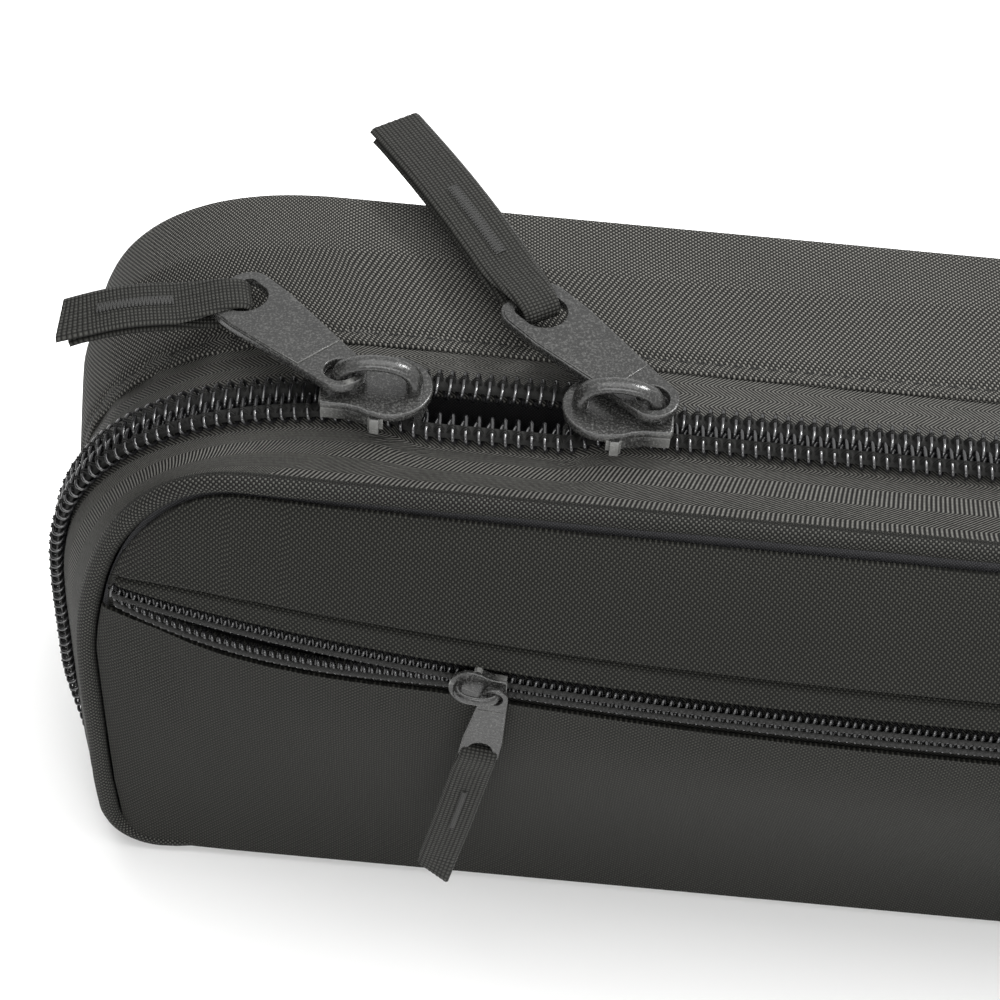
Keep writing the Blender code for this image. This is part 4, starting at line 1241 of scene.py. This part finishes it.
def make_main_slider(side, x, mouth, lean, pull_hole, strap_end, tack, cut):
    under = HEIGHT + skin_at(CHAIN_MIDDLE)[0] - 0.7 * MM
    origin = Vector((x, CHAIN_MIDDLE + SEAM, under))
    direction = Vector((math.cos(lean), 0, math.sin(lean)))
    place = axes(origin, direction, (0, 0, 1))
    make_slider(f"{side}_slider", f"{side}_slider", f"{side}_slider_body", place, MAIN_CHAIN, mouth,
                1.0)

    hang = Vector((0, 0, MAIN_CHAIN + ROOM + PLATE + BAIL_UP))
    bail = origin - direction * mouth * BAIL_X + hang
    pull_hole = Vector(pull_hole) + Vector((0, SEAM, 0))
    strap_end = Vector(strap_end) + Vector((0, SEAM, 0))
    pull = (pull_hole - bail).normalized()
    make_puller(f"{side}_pull_tab", f"{side}_puller", f"{side}_puller", axes(bail, pull, (0, 0, 1)),
                1.0)

    hole = bail + pull * PULL_HOLE_X
    run = (strap_end - hole).normalized()
    pivot = hole + run * STRAP_PIVOT
    length = (strap_end - pivot).length
    make_strap(f"{side}_strap_webbing", f"{side}_strap", f"{side}_pull_strap",
               axes(pivot, run, (0, 0, 1)), length, 10 * MM, 2.6 * MM, 1.0, tack, cut=cut)


def make_pocket_slider():
    x = POCKET_SLIDER

    def bulge(at_x, at_z):
        return float(belly(np.array(at_x), np.array(at_z)))

    depth = 0.7 * MM - bulge(x, POCKET_ZIP)
    step = 3 * MM
    across = (bulge(x + step, POCKET_ZIP) - bulge(x - step, POCKET_ZIP)) / (2 * step)
    upward = (bulge(x, POCKET_ZIP + step) - bulge(x, POCKET_ZIP - step)) / (2 * step)
    direction = Vector((1, -across, 0)).normalized()
    out = Vector((-across, -1, -upward)).normalized()
    origin = Vector((x, depth + SEAM, POCKET_ZIP))
    make_slider("pocket_slider", "pocket_slider", "pocket_slider_body", axes(origin, direction, out),
                POCKET_CHAIN, -1, POCKET_SCALE)
    lift = POCKET_CHAIN + ROOM + (PLATE + BAIL_UP) * POCKET_SCALE
    bail = origin + direction * BAIL_X * POCKET_SCALE + out * lift
    down = Vector((-0.12, -0.02, -1)).normalized()
    make_puller("pocket_pull_tab", "pocket_puller", "pocket_puller", axes(bail, down, (0, -1, 0)),
                POCKET_SCALE)
    hole = bail + down * PULL_HOLE_X * POCKET_SCALE
    run = Vector((-0.16, 0.05, -1)).normalized()
    place = axes(hole, run, (0, -1, 0)) @ Matrix.Translation((2.6 * MM, 0, 0))
    make_strap("pocket_strap_webbing", "pocket_strap", "pocket_pull_strap", place, 34 * MM,
               6.5 * MM, 1.8 * MM, POCKET_SCALE, (9 * MM, 20 * MM, 0.9 * MM), 0.5 * MM, -5 * MM, 0.95)


# ---------------------------------------------------------------- setting

def make_floor():
    """A plain pale floor, far wider than the picture."""
    net = Net("floor_paper")
    haze = net.noise(3.0, 2.0)
    tint = net.blend(haze, (0.945, 0.945, 0.94), (0.965, 0.965, 0.96))
    net.finish(tint, 0.9)
    mesh = bpy.data.meshes.new("floor")
    far = 6.0
    corners = [(-far, -far, 0), (far, -far, 0), (far, far, 0), (-far, far, 0)]
    mesh.from_pydata(corners, [], [(0, 1, 2, 3)])
    floor = bpy.data.objects.new("floor", mesh)
    floor.location.z = -0.3 * MM
    mesh.materials.append(net.material)
    bpy.context.scene.collection.objects.link(floor)


def make_flag():
    """A black card beyond the left end, which keeps the studio's light off that side."""
    net = Net("flag_card")
    net.finish((0.01, 0.01, 0.01), 0.9)
    mesh = bpy.data.meshes.new("flag")
    near, far, low, high = -0.30, 0.30, 0.03, 0.30
    corners = [(0, near, low), (0, far, low), (0, far, high), (0, near, high)]
    mesh.from_pydata(corners, [], [(0, 1, 2, 3)])
    flag = bpy.data.objects.new("flag", mesh)
    flag.location.x = -0.42
    flag.visible_camera = False
    mesh.materials.append(net.material)
    bpy.context.scene.collection.objects.link(flag)


def area_light(name, place, aim, size, power):
    light = bpy.data.lights.new(name, "AREA")
    light.shape = "RECTANGLE"
    light.size, light.size_y = size
    light.energy = power
    obj = bpy.data.objects.new(name, light)
    obj.location = place
    obj.rotation_mode = "QUATERNION"
    obj.rotation_quaternion = (Vector(aim) - Vector(place)).to_track_quat("-Z", "Y")
    bpy.context.scene.collection.objects.link(obj)


def make_lights():
    world = bpy.data.worlds.new("studio")
    world.use_nodes = True
    background = world.node_tree.nodes["Background"]
    background.inputs["Color"].default_value = (1.0, 1.0, 1.0, 1.0)
    background.inputs["Strength"].default_value = 1.08
    bpy.context.scene.world = world
    bpy.context.scene.view_settings.view_transform = "Standard"
    area_light("top_soft", (-0.1, 0.12, 1.0), (-0.1, 0.0, 0.08), (1.1, 0.8), 7)
    area_light("key", (0.3, 0.35, 0.75), (-0.13, 0.0, 0.1), (0.16, 0.16), 5)
    area_light("front_soft", (-0.1, -0.9, 0.8), (-0.12, -0.2, 0.0), (0.9, 0.4), 6)


def make_camera():
    """The close view from above the pocket side, towards the left end."""
    focal = 100.8
    distance = 445 * MM
    lift = math.radians(48.0)
    roll = math.radians(5.3)
    target = Vector((-149.5 * MM, SEAM, 104 * MM))
    gaze = Vector((0, math.cos(lift), -math.sin(lift)))
    right = gaze.cross(Vector((0, 0, 1))).normalized()
    up = right.cross(gaze)
    level = right * math.cos(roll) + up * math.sin(roll)
    upright = up * math.cos(roll) - right * math.sin(roll)
    camera = bpy.data.cameras.new("camera")
    camera.lens = focal
    camera.sensor_width = 36
    camera.clip_start = 0.02
    obj = bpy.data.objects.new("camera", camera)
    matrix = Matrix((level, upright, -gaze)).transposed().to_4x4()
    matrix.translation = target - gaze * distance
    obj.matrix_world = matrix
    bpy.context.scene.collection.objects.link(obj)
    bpy.context.scene.camera = obj


make_camera()
make_floor()
make_flag()
make_lights()
make_gusset()
make_tapes()
make_coil("rear_coil", 1, "rear_shell", "rear_zipper_coil", SPREAD_BACK)
make_coil("front_coil", -1, "front_cover", "front_zipper_coil", SPREAD_FRONT)
make_rear_layers()
make_spine()
make_stick_pocket()
make_front()
make_spine_fold()
make_main_slider("left", LEFT_SLIDER, 1, 0.02, (-194.0 * MM, 32.4 * MM, 110.8 * MM),
                 (-223.0 * MM, 27 * MM, 107.6 * MM), (6.5 * MM, 19 * MM, 2.0 * MM), -2 * MM)
make_main_slider("right", RIGHT_SLIDER, -1, 0.0, (-146 * MM, 33.2 * MM, 114.2 * MM),
                 (-174 * MM, 76 * MM, 114.3 * MM), (9 * MM, 26 * MM, 2.0 * MM), 0.6 * MM)
make_pocket_slider()
